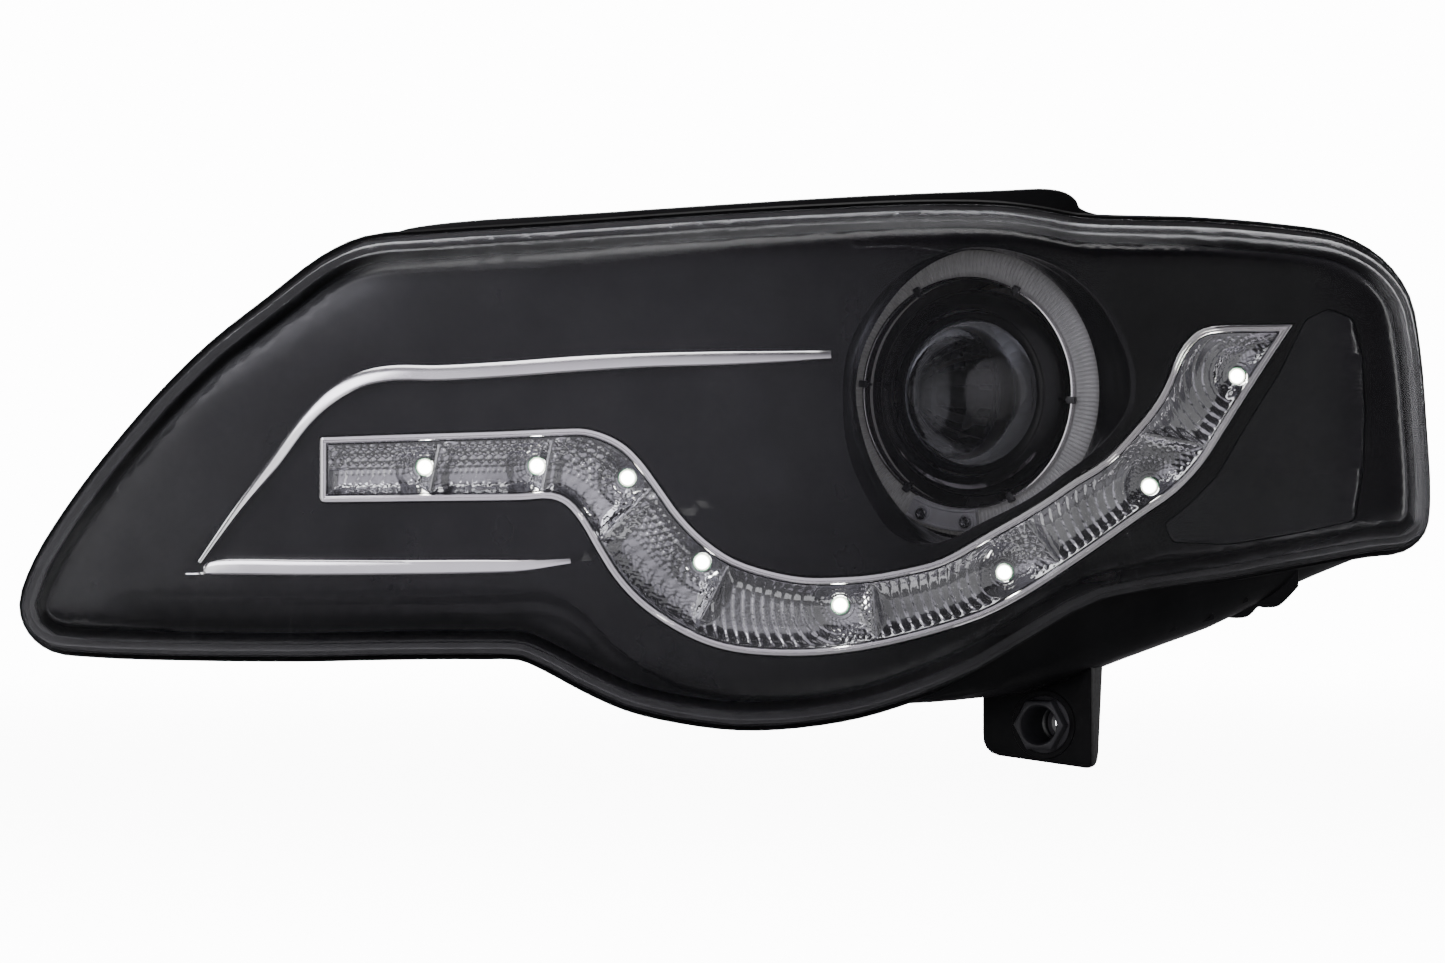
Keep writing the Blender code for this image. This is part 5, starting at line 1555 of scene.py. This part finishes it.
def finish_carried():
    for slot, names in CARRIED.items():
        for name in names:
            held = frame["nodes"][name]
            held.data.materials.clear()
            held.data.materials.append(material(slot))
            if name in BEVELLED:
                step = held.modifiers.new("edges", "BEVEL")
                step.width = BEVELLED[name] * MM
                step.segments = 3
                step.limit_method = "ANGLE"
                step.angle_limit = math.radians(40)
                step.harden_normals = False


# ---------------------------------------------------------------- studio
def aim(made, place, target):
    made.location = world(place)
    made.rotation_mode = "QUATERNION"
    made.rotation_quaternion = (world(target) - world(place)).to_track_quat("-Z", "Y")


def area_light(name, place, target, size, power, colour=(1, 1, 1)):
    data = bpy.data.lights.new(name, "AREA")
    data.shape = "RECTANGLE"
    data.size, data.size_y = size
    data.energy = power
    data.color = colour
    made = add(name, data)
    aim(made, place, target)
    made.visible_camera = False


def make_camera():
    data = bpy.data.cameras.new("camera")
    data.sensor_width = SENSOR
    data.lens = SENSOR * CAMERA_DISTANCE / FRAME_WIDTH
    data.clip_start, data.clip_end = 0.05, 60
    made = add("camera", data)
    aim(made, face(0, 0, -CAMERA_DISTANCE), face(0, 0, 0))
    bpy.context.scene.camera = made


def make_world():
    """White to the camera. Everything else sees a soft light behind the camera and dark sides."""
    sky = bpy.data.worlds.new("studio")
    sky.use_nodes = True
    tree = sky.node_tree
    tree.nodes.clear()
    place = node(tree, "ShaderNodeTexCoord").outputs["Generated"]
    source = Vector(face(*SOFT_LIGHT)).normalized()
    towards = node(tree, "ShaderNodeVectorMath", {0: place, 1: source}, operation="DOT_PRODUCT")
    shade = span(tree, towards.outputs["Value"], -1.0, 1.0, 0.0, 1.0)
    stops = [(spot, (0.93 * level, 0.9 * level, level)) for spot, level in SKY]
    other = node(tree, "ShaderNodeBackground", {"Color": ramp(tree, shade, stops), "Strength": 1.0})
    seen = node(tree, "ShaderNodeBackground", {"Color": (1, 1, 1, 1), "Strength": SEEN_WHITE})
    to_camera = node(tree, "ShaderNodeLightPath").outputs["Is Camera Ray"]
    mix = node(tree, "ShaderNodeMixShader", {0: to_camera, 1: other.outputs[0], 2: seen.outputs[0]})
    node(tree, "ShaderNodeOutputWorld", {0: mix.outputs[0]})
    bpy.context.scene.world = sky


def make_floor():
    """A pale round floor that fades into the white surround."""
    low = cad_box[0].z - FLOOR_GAP
    count = 96
    points = [(0, 0, low)]
    for radius in FLOOR_RINGS:
        points += [(x, y, low) for x, y in circle(0, 0, radius, count)]
    rows = [[1 + k * count + i for i in range(count)] for k in range(len(FLOOR_RINGS))]
    faces = [(0, rows[0][i], rows[0][(i + 1) % count]) for i in range(count)]
    for a, b in zip(rows[:-1], rows[1:]):
        faces += bridge(a, b)
    mesh = bpy.data.meshes.new("floor")
    mesh.from_pydata(points, [], faces)
    paint, tree, shader = start("floor")
    surface(tree, shader, (0.9, 0.9, 0.9), 0.6, 0.1, 0.02, 8.0, 0.02)
    place = node(tree, "ShaderNodeTexCoord").outputs["Object"]
    size = node(tree, "ShaderNodeVectorMath", {0: place}, operation="LENGTH").outputs["Value"]
    feed(tree, shader, {"Alpha": span(tree, size, *FLOOR_FADE, interpolation_type="SMOOTHSTEP")})
    mesh.materials.append(paint)
    made = add("floor", mesh)


def make_lights():
    middle = face(0, 0, 60)
    area_light("top", face(-60, 1500, 120), middle, (2.2, 0.9), 22)
    area_light("upper_left", face(-1250, 900, -900), middle, (0.9, 0.5), 6.0, (0.95, 0.94, 1.0))
    area_light("front_right", face(1350, 250, -800), middle, (1.8, 1.5), 2.4)
    area_light("side_right", face(1350, 150, 900), middle, (0.4, 1.1), 2.5)
    area_light("front_left", face(-1500, 120, -900), face(70, 38, 60), (1.0, 1.4), 4.5)
    area_light("side_left", face(-1700, 0, 300), middle, (0.5, 1.4), 5)
    area_light("below", face(500, -1100, -500), middle, (1.4, 0.5), 2.2)
    area_light("back", face(200, 700, 1700), middle, (1.6, 1.2), 30)


def main():
    for make in (
        make_camera, make_world, make_lights, make_floor, make_lens, make_bezel, make_cup, make_trims,
        make_strip_frame, make_strip_reflector, make_leds, make_turn_lens, make_turn_holder, make_halo,
        make_halo_holder, make_halo_screws, make_projector, make_housing, make_rail, make_sleeve,
        make_bracket, make_side_tab, make_cap, make_motor, make_knobs, make_socket, make_vent, make_driver,
        finish_carried,
    ):
        make()


main()
